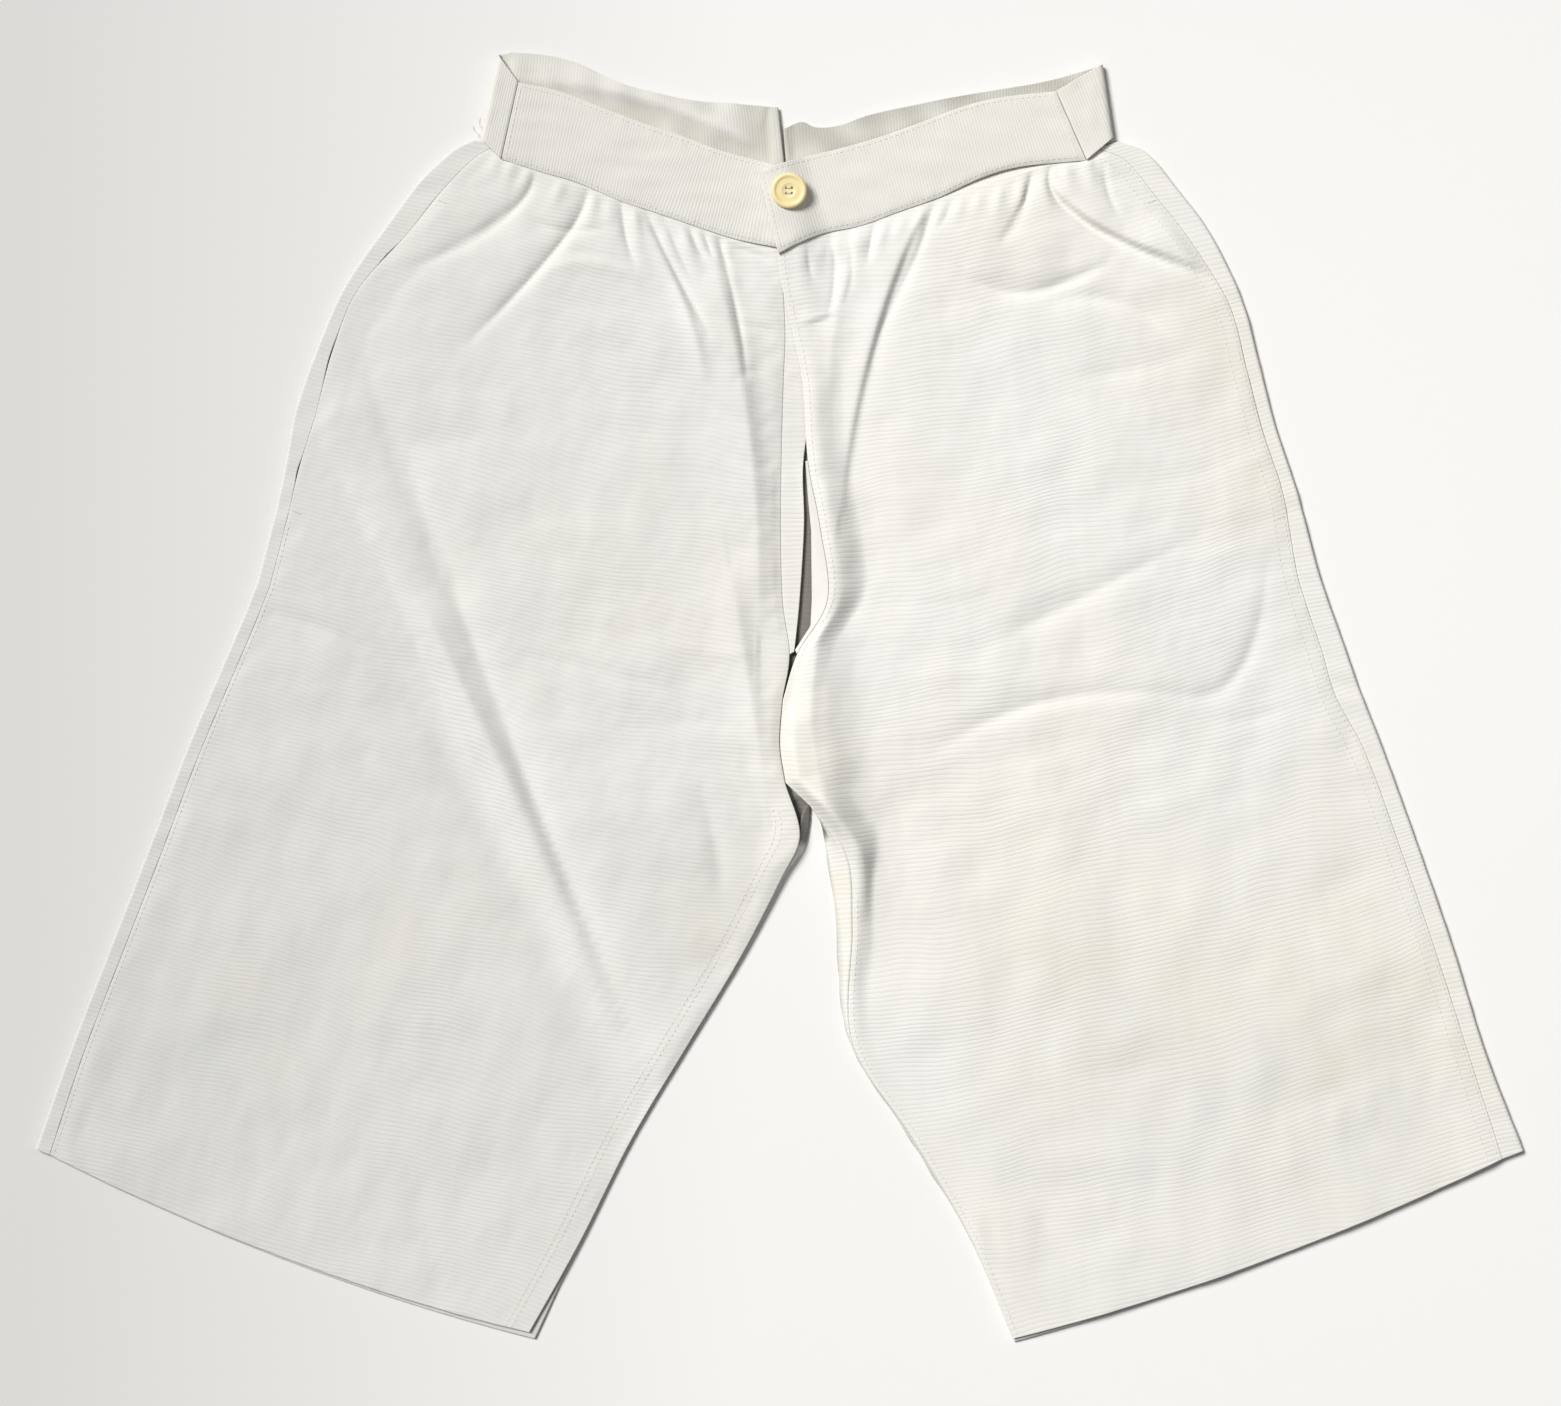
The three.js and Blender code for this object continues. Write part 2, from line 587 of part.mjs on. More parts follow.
// A closed wall between two grids of points with the same rows and columns.
function wallGeometry(lower, upper, flip) {
  const rows = lower.length;
  const columns = lower[0].length;
  const positions = [...lower.flat(), ...upper.flat()].flat();
  const top = rows * columns;
  const index = [];
  const quad = (a, b, c, d) => (flip ? index.push(a, c, b, a, d, c) : index.push(a, b, c, a, c, d));
  const at = (i, j) => i * columns + j;
  for (let i = 0; i < rows - 1; i++) {
    for (let j = 0; j < columns - 1; j++) {
      const corners = [at(i, j), at(i, j + 1), at(i + 1, j + 1), at(i + 1, j)];
      quad(...corners);
      quad(...corners.map((k) => k + top).reverse());
    }
  }
  const border = [];
  for (let j = 0; j < columns - 1; j++) border.push([at(0, j + 1), at(0, j)]);
  for (let i = 0; i < rows - 1; i++) border.push([at(i, 0), at(i + 1, 0)]);
  for (let j = 0; j < columns - 1; j++) border.push([at(rows - 1, j), at(rows - 1, j + 1)]);
  for (let i = rows - 1; i > 0; i--) border.push([at(i, columns - 1), at(i - 1, columns - 1)]);
  for (const [a, b] of border) quad(a, b, b + top, a + top);
  const geometry = new THREE.BufferGeometry();
  geometry.setAttribute('position', new THREE.Float32BufferAttribute(positions, 3));
  geometry.setIndex(index);
  return facingOut(geometry);
}

// Turns every face round if the closed geometry's volume comes out negative.
function facingOut(geometry) {
  const point = [new THREE.Vector3(), new THREE.Vector3(), new THREE.Vector3()];
  const index = geometry.getIndex().array;
  const position = geometry.getAttribute('position');
  let volume = 0;
  for (let i = 0; i < index.length; i += 3) {
    point.forEach((p, k) => p.fromBufferAttribute(position, index[i + k]));
    volume += point[0].dot(point[1].cross(point[2])) / 6;
  }
  if (volume < 0) {
    for (let i = 0; i < index.length; i += 3) {
      [index[i + 1], index[i + 2]] = [index[i + 2], index[i + 1]];
    }
  }
  return geometry;
}

// A wall over a height function: thicker measured upright where it slopes, so that the cloth
// itself keeps its thickness.
function heightWall(rows, columns, surface, thickness) {
  const lower = rows.map((v) => columns.map((u) => surface(u, v)));
  const upper = lower.map((line, i) =>
    line.map(([x, y, z], j) => {
      const slope = slopeAt(lower, i, j);
      const upright = Math.min(1.8, Math.sqrt(1 + slope * slope));
      return [x, y, z + thickness(rows[i]) * upright];
    }),
  );
  return wallGeometry(lower, upper, false);
}

function slopeAt(grid, i, j) {
  const rise = (a, b) => Math.abs(b[2] - a[2]) / Math.max(0.5, Math.hypot(b[0] - a[0], b[1] - a[1]));
  const line = grid[i];
  const across = rise(line[Math.max(0, j - 1)], line[Math.min(line.length - 1, j + 1)]);
  const down = rise(grid[Math.max(0, i - 1)][j], grid[Math.min(grid.length - 1, i + 1)][j]);
  return Math.hypot(across, down);
}

function frontPanel(leg) {
  const columns = evenSteps(FRONT_COLUMNS).map((t) => 1 - (1 - t) ** COLUMN_CROWDING);
  const surface = (u, v) => {
    const { x, y, z } = leg.level(u, v);
    return [x, y, z];
  };
  return heightWall(FRONT_ROWS, columns, surface, leg.clothWall);
}

// The middle of a wall that turns up at a fold and laps over the front, as distances inward
// from the fold and heights. The lapped part's underside is at the given level.
function turnedEdge(lap, wall, level) {
  const radius = level / 2;
  const centre = radius + wall / 2;
  const top = wall / 2 + level;
  const points = [];
  for (const t of evenSteps(TURN_COLUMNS)) {
    const angle = Math.PI * t;
    const z = wall / 2 + radius * (1 - Math.cos(angle));
    points.push({ inward: centre - radius * Math.sin(angle), z, turnedOver: t > 0.5 });
  }
  points.push({ inward: mix(centre, lap, 0.5), z: top, turnedOver: true });
  points.push({ inward: lap, z: top, turnedOver: true });
  return points;
}

// Even samples along a polyline of three-dimensional points.
function resample(points, count) {
  const lengths = [0];
  for (let i = 1; i < points.length; i++) {
    lengths.push(lengths[i - 1] + Math.hypot(...points[i].map((value, k) => value - points[i - 1][k])));
  }
  return evenSteps(count).map((t) => {
    const wanted = t * lengths[lengths.length - 1];
    let i = 1;
    while (i < points.length - 1 && lengths[i] < wanted) i++;
    const share = (wanted - lengths[i - 1]) / Math.max(1e-9, lengths[i] - lengths[i - 1]);
    return mix(points[i - 1], points[i], share);
  });
}

function backPanel(leg) {
  const lower = [];
  const upper = [];
  for (const v of BACK_ROWS) {
    const section = leg.sectionAt(v);
    const { fold, seam, back } = section;
    const wall = leg.clothWall(v);
    const width = distance(fold, back);
    const inwards = direction(fold, back);
    const onTable = (inward) => [...leg.bowed(section, fold, back, inward / width), wall / 2];
    const lipFoot = width - LIP_RUN;
    const lipHeight = Math.max(wall / 2, leg.level(1, v).z - GAP - wall / 2);
    const lipTop = mix([...back, wall / 2], [...section.front, lipHeight], section.rise);
    const turn = turnedEdge(distance(fold, seam) - section.slit, wall, SIDE_LEVEL);
    const middle = resample([onTable(lipFoot), onTable(width), lipTop], LIP_COLUMNS).reverse();
    for (let k = 1; k < BACK_FLAT_COLUMNS; k++) {
      middle.push(onTable(mix(lipFoot, turn[0].inward, k / BACK_FLAT_COLUMNS)));
    }
    for (const { inward, z, turnedOver } of turn) {
      const [x, y] = turnedOver ? along(fold, seam, inward) : onTable(inward);
      middle.push([x, y, z]);
    }
    const skins = offsetLine(middle, inwards, wall);
    lower.push(skins.below);
    upper.push(skins.above);
  }
  return wallGeometry(lower, upper, true);
}

// Both skins of a wall from a row of points on its middle, offset in the upright plane that
// holds the given plan direction.
function offsetLine(middle, direction, wall) {
  const below = [];
  const above = [];
  middle.forEach((point, i) => {
    const before = middle[Math.max(0, i - 1)];
    const after = middle[Math.min(middle.length - 1, i + 1)];
    const run = (after[0] - before[0]) * direction[0] + (after[1] - before[1]) * direction[1];
    const climb = after[2] - before[2];
    const length = Math.hypot(run, climb);
    const out = [(-climb / length) * direction[0], (-climb / length) * direction[1], run / length];
    below.push(point.map((value, k) => value + (out[k] * wall) / 2));
    above.push(point.map((value, k) => value - (out[k] * wall) / 2));
  });
  return { below, above };
}

// The front waistband lies on the gathered edge of the panel below it.
function bandLevel(leg, x) {
  const start = leg.level(0, 0).x;
  const end = leg.level(1, 0).x;
  const u = Math.min(1, Math.max(0, (x - start) / (end - start)));
  return leg.level(u, 0).z + WALL + BAND_CLEAR;
}

function frontBand(leg, stations) {
  const last = stations.length - 1;
  const surface = (w, s) => {
    const { top, bottom } = rowAt(stations, s * last);
    const [x, y] = mix(bottom, top, w);
    return [x, y, bandLevel(leg, mix(bottom, top, 0.1)[0])];
  };
  const rows = evenSteps(24);
  return heightWall(rows, evenSteps(BAND_ROWS), surface, () => BAND_WALL);
}

// The back waistband: flat along the table, turned at the side and lapped onto the front.
function backBand(leg, band) {
  const last = band.top.length - 1;
  const tops = band.top.map((at) => ({ at }));
  const [centreX, centreY] = leg.sectionAt(0).back;
  const level = bandLevel(leg, band.tab.bottom[0]);
  const lower = [];
  const upper = [];
  for (const w of evenSteps(BAND_ROWS)) {
    const fold = mix(band.fold.bottom, band.fold.top, w);
    const tab = mix(band.tab.bottom, band.tab.top, w);
    const turn = turnedEdge(distance(fold, tab) - GAP, BAND_WALL, level);
    const middle = [];
    for (const t of evenSteps(BAND_STATIONS).slice(0, -1)) {
      const top = rowAt(tops, t * last).at;
      const bottom = mix([centreX, centreY + GAP], band.fold.bottom, t);
      middle.push([...mix(bottom, top, w), BAND_WALL / 2]);
    }
    const lastFlat = middle[middle.length - 1];
    for (const { inward, z, turnedOver } of turn) {
      const [x, y] = along(fold, turnedOver ? tab : lastFlat, inward);
      middle.push([x, y, z]);
    }
    const skins = offsetLine(middle, direction(fold, tab), BAND_WALL);
    lower.push(skins.below);
    upper.push(skins.above);
  }
  return wallGeometry(lower, upper, true);
}

// The stand: a strip that carries on from the right front's fly edge under the left front.
function flyStand() {
  const last = FLY_STAND_EDGE.length - 1;
  const edges = FLY_STAND_EDGE.map((at) => ({ at }));
  const surface = (u, v) => {
    const start = rightLeg.level(1, v);
    const [x, y] = mix([start.x + GAP, start.y], rowAt(edges, v).at, u);
    return [x, y, start.z];
  };
  const rows = evenSteps(20).map((t) => 0.25 + t * (last - 0.25));
  return heightWall(rows, evenSteps(3), surface, () => WALL);
}

// The facing: the inner side of the left front's edge where the lip of the fly stands open.
function flyFacing() {
  const last = FLY_FACING.length - 1;
  const surface = (u, t) => {
    const { row, edge } = FLY_FACING[t * last];
    const lip = leftLeg.level(1, row);
    const low = rightLeg.level(1, row).z + WALL + GAP;
    const width = distance(edge, [lip.x, lip.y]);
    const [x, y] = mix(edge, [lip.x, lip.y], u * (1 - FACING_CLEAR / width));
    return [x, y, mix(low, lip.z, u ** 1.3)];
  };
  return heightWall(evenSteps(last), evenSteps(4), surface, () => WALL);
}

function pocketBag(bag) {
  const last = bag.length - 1;
  const surface = (u, t) => {
    const { outer, inner } = rowAt(bag, t * last);
    return [...mix(outer, inner, u), WALL + GAP];
  };
  return heightWall(evenSteps(10), evenSteps(4), surface, () => BAG_WALL);
}

// A dished button with a rounded rim and four sewing holes.
async function button() {
  const wasm = await Module();
  wasm.setup();
  const half = BUTTON_THICKNESS / 2;
  const profile = [
    [0, -half],
    [BUTTON_RADIUS - 1.2, -half],
    [BUTTON_RADIUS - 0.3, -half + 0.5],
    [BUTTON_RADIUS, 0],
    [BUTTON_RADIUS - 0.35, half - 0.5],
    [BUTTON_RADIUS - 1.1, half],
    [BUTTON_RADIUS - BUTTON_RIM, half - 0.25],
    [BUTTON_RADIUS - BUTTON_RIM - 0.9, half - BUTTON_DISH],
    [BUTTON_RADIUS * 0.42, half - BUTTON_DISH],
    [BUTTON_RADIUS * 0.34, half - BUTTON_DISH - 0.45],
    [0, half - BUTTON_DISH - 0.5],
  ].map(([radius, height]) => new THREE.Vector2(radius, height));
  const disc = new THREE.LatheGeometry(profile, 30);
  disc.rotateX(Math.PI / 2);
  let solid = toManifold(wasm, disc);
  for (const [sx, sy] of [[1, 1], [1, -1], [-1, 1], [-1, -1]]) {
    const drill = new THREE.CylinderGeometry(HOLE_RADIUS, HOLE_RADIUS, 3 * BUTTON_THICKNESS, 10);
    drill.rotateX(Math.PI / 2);
    drill.translate(sx * HOLE_OFFSET, sy * HOLE_OFFSET, 0);
    solid = solid.subtract(toManifold(wasm, drill));
  }
  return fromManifold(solid.getMesh());
}

function toManifold(wasm, geometry) {
  const bare = geometry.clone();
  bare.deleteAttribute('normal');
  bare.deleteAttribute('uv');
  const merged = mergeVertices(bare, 1e-4);
  const triVerts = new Uint32Array(merged.getIndex().array);
  const vertProperties = new Float32Array(merged.getAttribute('position').array);
  return new wasm.Manifold(new wasm.Mesh({ numProp: 3, vertProperties, triVerts }));
}

function fromManifold(mesh) {
  const geometry = new THREE.BufferGeometry();
  geometry.setAttribute('position', new THREE.BufferAttribute(new Float32Array(mesh.vertProperties), 3));
  geometry.setIndex([...mesh.triVerts]);
  return geometry;
}

const garment = new THREE.Group();

function add(name, geometry, material) {
  geometry.computeVertexNormals();
  const mesh = new THREE.Mesh(geometry, material);
  mesh.name = name;
  garment.add(mesh);
  return mesh;
}

add('back_right', backPanel(rightLeg), cloth);
add('back_left', backPanel(leftLeg), cloth);
add('front_right', frontPanel(rightLeg), cloth);
add('front_left', frontPanel(leftLeg), cloth);
add('waistband_back_right', backBand(rightLeg, BACK_BAND_RIGHT), bandCloth);
add('waistband_back_left', backBand(leftLeg, BACK_BAND_LEFT), bandCloth);
add('waistband_front_right', frontBand(rightLeg, FRONT_BAND_RIGHT), bandCloth);
add('waistband_front_left', frontBand(leftLeg, FRONT_BAND_LEFT), bandCloth);
add('fly_stand', flyStand(), cloth);
add('fly_facing', flyFacing(), lining);
add('pocket_bag_right', pocketBag(RIGHT_BAG), lining);
add('pocket_bag_left', pocketBag(LEFT_BAG), lining);

const buttonMesh = add('button', await button(), buttonMaterial);
const buttonBase = bandLevel(leftLeg, BUTTON_AT[0]) + BAND_WALL + GAP;
buttonMesh.position.set(BUTTON_AT[0], BUTTON_AT[1], buttonBase + BUTTON_THICKNESS / 2);

export default garment;
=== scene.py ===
import math

import bpy
import numpy as np
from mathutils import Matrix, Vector


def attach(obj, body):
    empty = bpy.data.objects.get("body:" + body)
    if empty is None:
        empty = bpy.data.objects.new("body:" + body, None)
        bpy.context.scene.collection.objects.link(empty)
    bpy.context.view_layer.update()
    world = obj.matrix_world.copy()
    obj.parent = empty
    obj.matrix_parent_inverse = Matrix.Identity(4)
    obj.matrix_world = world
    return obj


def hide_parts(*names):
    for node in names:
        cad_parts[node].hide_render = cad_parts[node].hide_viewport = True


# Cropped trousers of ribbed cotton, laid flat with the front up.
# The tables are in millimetres and the meshes in metres. +X is the wearer's left side, +Y the waist.
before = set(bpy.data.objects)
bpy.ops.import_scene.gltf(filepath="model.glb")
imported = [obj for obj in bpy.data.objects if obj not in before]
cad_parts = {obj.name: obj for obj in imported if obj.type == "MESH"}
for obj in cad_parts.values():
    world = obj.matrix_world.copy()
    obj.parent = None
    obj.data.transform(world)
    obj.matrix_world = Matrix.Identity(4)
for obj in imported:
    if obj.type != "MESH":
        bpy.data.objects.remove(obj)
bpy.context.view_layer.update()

MM = 0.001

# ---------------------------------------------------------------- driving sizes

WALL = 1.1  # one layer of the cloth with its seam turnings
HEM_WALL = 1.65  # the cloth and its turned-up hem, pressed flat
BAND_WALL = 1.4  # the doubled waistband
BAG_WALL = 0.7  # both layers of a pocket bag
GAP = 0.2  # between two pieces at a seam
CLOSED_SEAM = 0.05  # between the two sides of a sewn side seam
SIDE_LEVEL = 2.2  # underside of the cloth where the back wraps over to the side seam
TUCK_ROW = -0.2  # the gathered edge, up under the waistband
BAND_CLEAR = 0.35  # waistband above the gathered edge
TUCK_DIP = 0.8  # how far the gathered edge is drawn down under the band
HEM_ROW = 16  # the section at the hem stitching
LIP_RUN = 4  # flat cloth that belongs to the raised edge of a back panel
CORNER_ROWS = (8, 10)  # where the centre edges turn: above the crotch and at it
FLY_RIDGE_LEFT = 17  # how far the ridge rounds down towards the opening
FLANK_HOLLOW = 1.2  # 1 for a straight flank
DIP_RUN = 52  # how far beyond the flank the cloth comes up again
FACING_CLEAR = 0.1  # between the facing and the lip
GATHER_HALF_WIDTH = 3.0  # of a pleat, before it spreads
GATHER_GAIN = 1.3  # how much higher the pleats stand than their table says
FOLD_GAIN = 1.5  # how much higher the folds stand than their tables say
FOLD_SHARPNESS = 1.45  # 2 for a round fold, 1 for a sharp one
BAG_EDGE = 20  # how softly the outline of a pocket bag shows
BUTTON_AT = (5, 282)
BUTTON_THICKNESS = 2.6
RIB_PITCH = 2.55
BAND_RIB_PITCH = 1.7
RIB_RELIEF = 0.16
FUZZ_RELIEF = 0.08
YARN_PITCH = 0.62  # along the ribs
PLAIN_PITCH = 0.7  # of the plain weave


def table(names, *rows):
    """Rows with named columns."""
    return [dict(zip(names.split(), row)) for row in rows]


def line(*points):
    """A table of places alone."""
    return table("at", *((point,) for point in points))


# Sections across each leg from the waist (row 0) down to the hem's edge (row 17).
# fold: where the back panel turns up at the side, lap: how far it then runs over the front,
# front and back: the inner edges of the two panels, lift: height of the front's inner edge,
# sag: how far the section bows towards the hem, puff: air in the leg, rise: 1 where the back
# panel stands up to the raised inner edge.
LEG_COLUMNS = "fold lap front back lift sag puff rise"
RIGHT_LEG = table(
    LEG_COLUMNS,
    ((-171.5, 312), 12, (1.5, 251), (4.5, 281), 2.4, 2, 0.6, 0),
    ((-184, 305.5), 13, (2, 228), (4.5, 259), 2.4, 3, 3.4, 0),
    ((-202, 288.5), 14, (3, 203), (5, 228), 2.4, 4, 4.8, 0),
    ((-220, 264.5), 13, (2, 175), (5.5, 194.5), 2.4, 4, 5.4, 0),
    ((-243.5, 230.5), 8, (1, 138.5), (6, 150), 2.4, 4, 5.6, 0),
    ((-258.5, 197), 9, (0.5, 99.5), (7.5, 110.5), 2.4, 4, 5.6, 0),
    ((-271, 161.5), 12, (1.5, 54.5), (8.5, 71.5), 2.6, 4, 5.6, 0),
    ((-276.5, 132), 8.5, (5.5, 24), (9.5, 38), 3, 4, 5.6, 0),
    ((-281.5, 108), 8, (1.5, -1.5), (11, 10), 4.2, 4, 5.4, 0),
    ((-287.5, 84.5), 8, (0, -26.5), (13.5, -18), 5, 4, 5.2, 0),
    ((-292.5, 65), 8, (3, -47.5), (18, -57.5), 6.5, 4, 5.2, 0),
    ((-301.5, 42.5), 8, (11.2, -77), (14.5, -83), 6, 4, 5.4, 1),
    ((-314, 13.5), 8, (0.5, -102), (1, -102), 3.4, 4, 5.6, 1),
    ((-332.5, -30), 8, (-22, -145.5), (-21.5, -145.5), 2.1, 5, 5.6, 1),
    ((-351, -78.5), 8, (-50, -192), (-49.5, -192), 1.6, 6, 5.2, 1),
    ((-373.5, -136.5), 8, (-82.5, -246.5), (-82, -246.5), 1.5, 7, 4, 0.5),
    ((-396, -194.5), 8, (-111.5, -304), (-111.5, -304.5), 1.5, 8, 1.8, 0),
    ((-416.5, -252.5), 9, (-140, -355), (-137, -359), 1.7, 9, 0.3, 0),
)
LEFT_LEG = table(
    LEG_COLUMNS,
    ((190, 311), 14, (-2, 255), (4.5, 281), 7.2, 0, 0.6, 0),
    ((206, 304), 13, (0.5, 232.5), (4.5, 259), 6.2, 3, 3.4, 0),
    ((223.5, 283), 13, (6.5, 206), (5, 228), 5.2, 4, 4.8, 0),
    ((241, 259), 12, (12.5, 175), (5.5, 194.5), 5.6, 4, 5.4, 0),
    ((258.5, 222.5), 8, (15.5, 132), (6, 150), 7.5, 4, 5.6, 0),
    ((268, 187.5), 8, (22.5, 94), (7.5, 110.5), 9.5, 4, 5.6, 0),
    ((277, 152.5), 8, (26.5, 54.5), (8.5, 71.5), 9.5, 4, 5.6, 0),
    ((288, 119.5), 8, (9.5, 24), (9.5, 38), 6.4, 4, 5.6, 0),
    ((294.5, 96), 10, (1.5, -1.5), (11, 10), 6.2, 4, 5.4, 0),
    ((300.5, 73), 12, (0, -26.5), (13.5, -18), 8, 4, 5.2, 0),
    ((306.5, 54.5), 12.5, (3, -47.5), (18, -57.5), 9.4, 4, 5.2, 0),
    ((315.5, 29.5), 13, (23, -67.5), (23.5, -71.5), 10.5, 4, 5.4, 1),
    ((324, 5), 14, (38, -91), (26.5, -92), 9.5, 4, 5.6, 1),
    ((337.5, -29.5), 10, (40.5, -130), (31, -124.5), 5, 5, 5.6, 1),
    ((358, -86), 10, (40.5, -193), (38, -189.5), 2.6, 6, 5.2, 1),
    ((377, -141.5), 10, (74, -246), (72, -246), 1.6, 7, 4, 0.5),
    ((395, -199.5), 9.5, (106.5, -302), (106, -302.5), 1.7, 8, 1.8, 0),
    ((416, -253.5), 13, (130.5, -358.5), (131, -360.5), 1.7, 8, 0.3, 0),
)

# Where the seam gapes at the mouth of the right pocket, and how far
POCKET_GAPES = table(
    "row width spread",
    (3.4, 0.5, 0.14),
    (5.1, 0.7, 0.3),
    (7.1, 0.7, 0.24),
)

# Folds: soft ridges (rise above 0) and valleys (below 0) along a curve through three points, with
# the half widths of their slopes on the left and right, walking from start to end.
FOLD_COLUMNS = "start through end rise left right"
RIGHT_FOLDS = table(
    FOLD_COLUMNS,
    ((-138, 286), (-160, 262), (-202, 240), -0.9, 4, 7),
    ((-196, 240), (-226, 214), (-240, 172), -1.1, 5, 12),
    ((-108, 284), (-121, 255), (-172, 200), -0.9, 4, 6),
    ((-132, 236), (-106, 243), (-76, 232), 1, 5, 5),
    ((-74, 262), (-54, 220), (-42, 180), 1.5, 3.4, 3.4),
    ((-38, 244), (-18, 152), (-12, 40), 3.2, 7, 24),
    ((-27, 66), (-17, 4), (-8, -54), 2.6, 7, 16),
    ((-264, 142), (-176, -46), (-72, -252), -3.6, 11, 18),
    ((-262, 146), (-165, -48), (-62, -250), -1.6, 5, 9),
    ((-200, 52), (-141, -70), (-76, -214), 1.9, 5, 7),
    ((-230, 178), (-152, -20), (-78, -204), -2.6, 11, 9),
    ((-237, 196), (-192, 86), (-150, -18), -1, 5, 8),
    ((-150, -26), (-114, -112), (-66, -228), -1.9, 4, 4),
    ((-294, 49), (-254, 38), (-222, 19), -1, 5, 4),
    ((-271, 1), (-230, -32), (-186, -59), -1, 6, 5),
    ((-44, -52), (-36, -84), (-31, -120), -1.2, 6, 5),
    ((-385, -226), (-388, -238), (-394, -254), -0.6, 5, 5),
)
LEFT_FOLDS = table(
    FOLD_COLUMNS,
    ((48, 258), (32, 214), (28, 166), 1.6, 7, 9),
    ((85, 282), (53, 206), (33, 104), 1.7, 2.4, 15),
    ((88, 283), (56, 206), (37, 118), -0.9, 6, 2),
    ((136, 292), (136, 272), (124, 254), -1, 3.6, 2.6),
    ((152, 288), (182, 262.5), (242, 240), 2.4, 9, 2.2),
    ((150, 286), (180, 259.5), (244, 234), -2.4, 2.6, 3.4),
    ((103, 236), (138, 226), (182, 242), -2.3, 7, 4),
    ((150, 220), (182, 222), (214, 206), -2, 7, 4),
    ((166, 179), (193, 182), (226, 190), -0.8, 7, 5),
    ((108, 25), (180, 62), (232, 90), -1.2, 9, 6),
    ((88, -29), (150, -2), (224, 2), -1.3, 6, 4),
    ((218, 2), (256, 14), (272, 74), -1.1, 4, 5),
    ((50, -100), (47, -140), (45, -188), -0.8, 10, 5),
    ((150, -204), (198, -210), (254, -188), -0.7, 9, 7),
    ((246, -244), (318, -216), (371, -190), -0.8, 9, 7),
    ((108, -280), (150, -276), (192, -274), -0.5, 9, 7),
)

# Creases: the finer lines that are pressed into the cloth, with the same columns.
RIGHT_CREASES = table(
    FOLD_COLUMNS,
    ((-138, 292), (-153, 269), (-202, 241), -2.2, 2.2, 3.4),
    ((-108, 285), (-121, 255), (-172, 200), -2.2, 2.2, 3),
    ((-140, 268), (-122, 261), (-98, 262), -1.4, 2.4, 2.6),
    ((-118, 249), (-104, 247), (-88, 241), -1.2, 2.4, 2.4),
    ((-89, 279), (-86, 258), (-81, 243), -2, 2, 2),
    ((-76, 275), (-61, 242), (-40, 204), -2.6, 2.4, 2.6),
    ((-66, 270), (-58, 252), (-50, 236), -1.6, 2.1, 2.3),
    ((-51, 264), (-46, 252), (-41, 246), -1.8, 2, 2.1),
    ((-43, 261), (-40, 252), (-36, 245), -1.6, 2, 2.1),
    ((-34, 259), (-31, 248), (-27, 240), -1.8, 2, 2.1),
    ((-35, 259), (-24, 214), (-19, 178), -2.2, 2.2, 2.8),
    ((-27, 252), (-18, 249), (-7, 245), -1.4, 2, 2),
    ((-34, 216), (-22, 208), (-8, 206), -0.9, 2.4, 2.6),
    ((-26, 176), (-16, 182), (-6, 178), -0.9, 2.4, 2.6),
    ((-22, 134), (-12, 128), (-4, 132), -0.9, 2.4, 2.6),
    ((-18, 92), (-10, 96), (-3, 90), -0.8, 2.4, 2.6),
    ((-22, 188), (-34, 196), (-46, 208), 0.7, 3, 4),
    ((-12, 150), (-30, 158), (-50, 172), -0.8, 3, 5),
    ((-8, 118), (-22, 126), (-40, 132), 0.7, 3, 4),
    ((-6, 82), (-24, 84), (-44, 92), -0.7, 3, 5),
    ((-10, 28), (-34, 24), (-66, 34), 0.6, 4, 6),
    ((-14, -20), (-42, -14), (-78, -18), -0.6, 4, 6),
    ((-150, 24), (-96, 14), (-40, -4), -0.7, 4, 5),
    ((-170, 226), (-120, 214), (-60, 190), 0.5, 5, 6),
    ((-226, 150), (-200, 142), (-168, 146), -0.5, 6, 8),
    ((-244, 96), (-214, 80), (-176, 76), 0.5, 6, 9),
    ((-320, -60), (-270, -66), (-230, -84), -0.7, 7, 9),
    ((-330, -120), (-290, -130), (-236, -116), 0.6, 8, 9),
    ((-360, -150), (-330, -170), (-290, -178), 0.5, 7, 9),
    ((-262, -128), (-234, -150), (-210, -176), -0.8, 6, 7),
    ((-240, -204), (-200, -232), (-150, -236), 0.6, 7, 8),
    ((-200, -296), (-193, -316), (-186, -332), -1, 3, 4),
    ((-238, -286), (-233, -300), (-226, -312), -0.8, 3, 4),
)
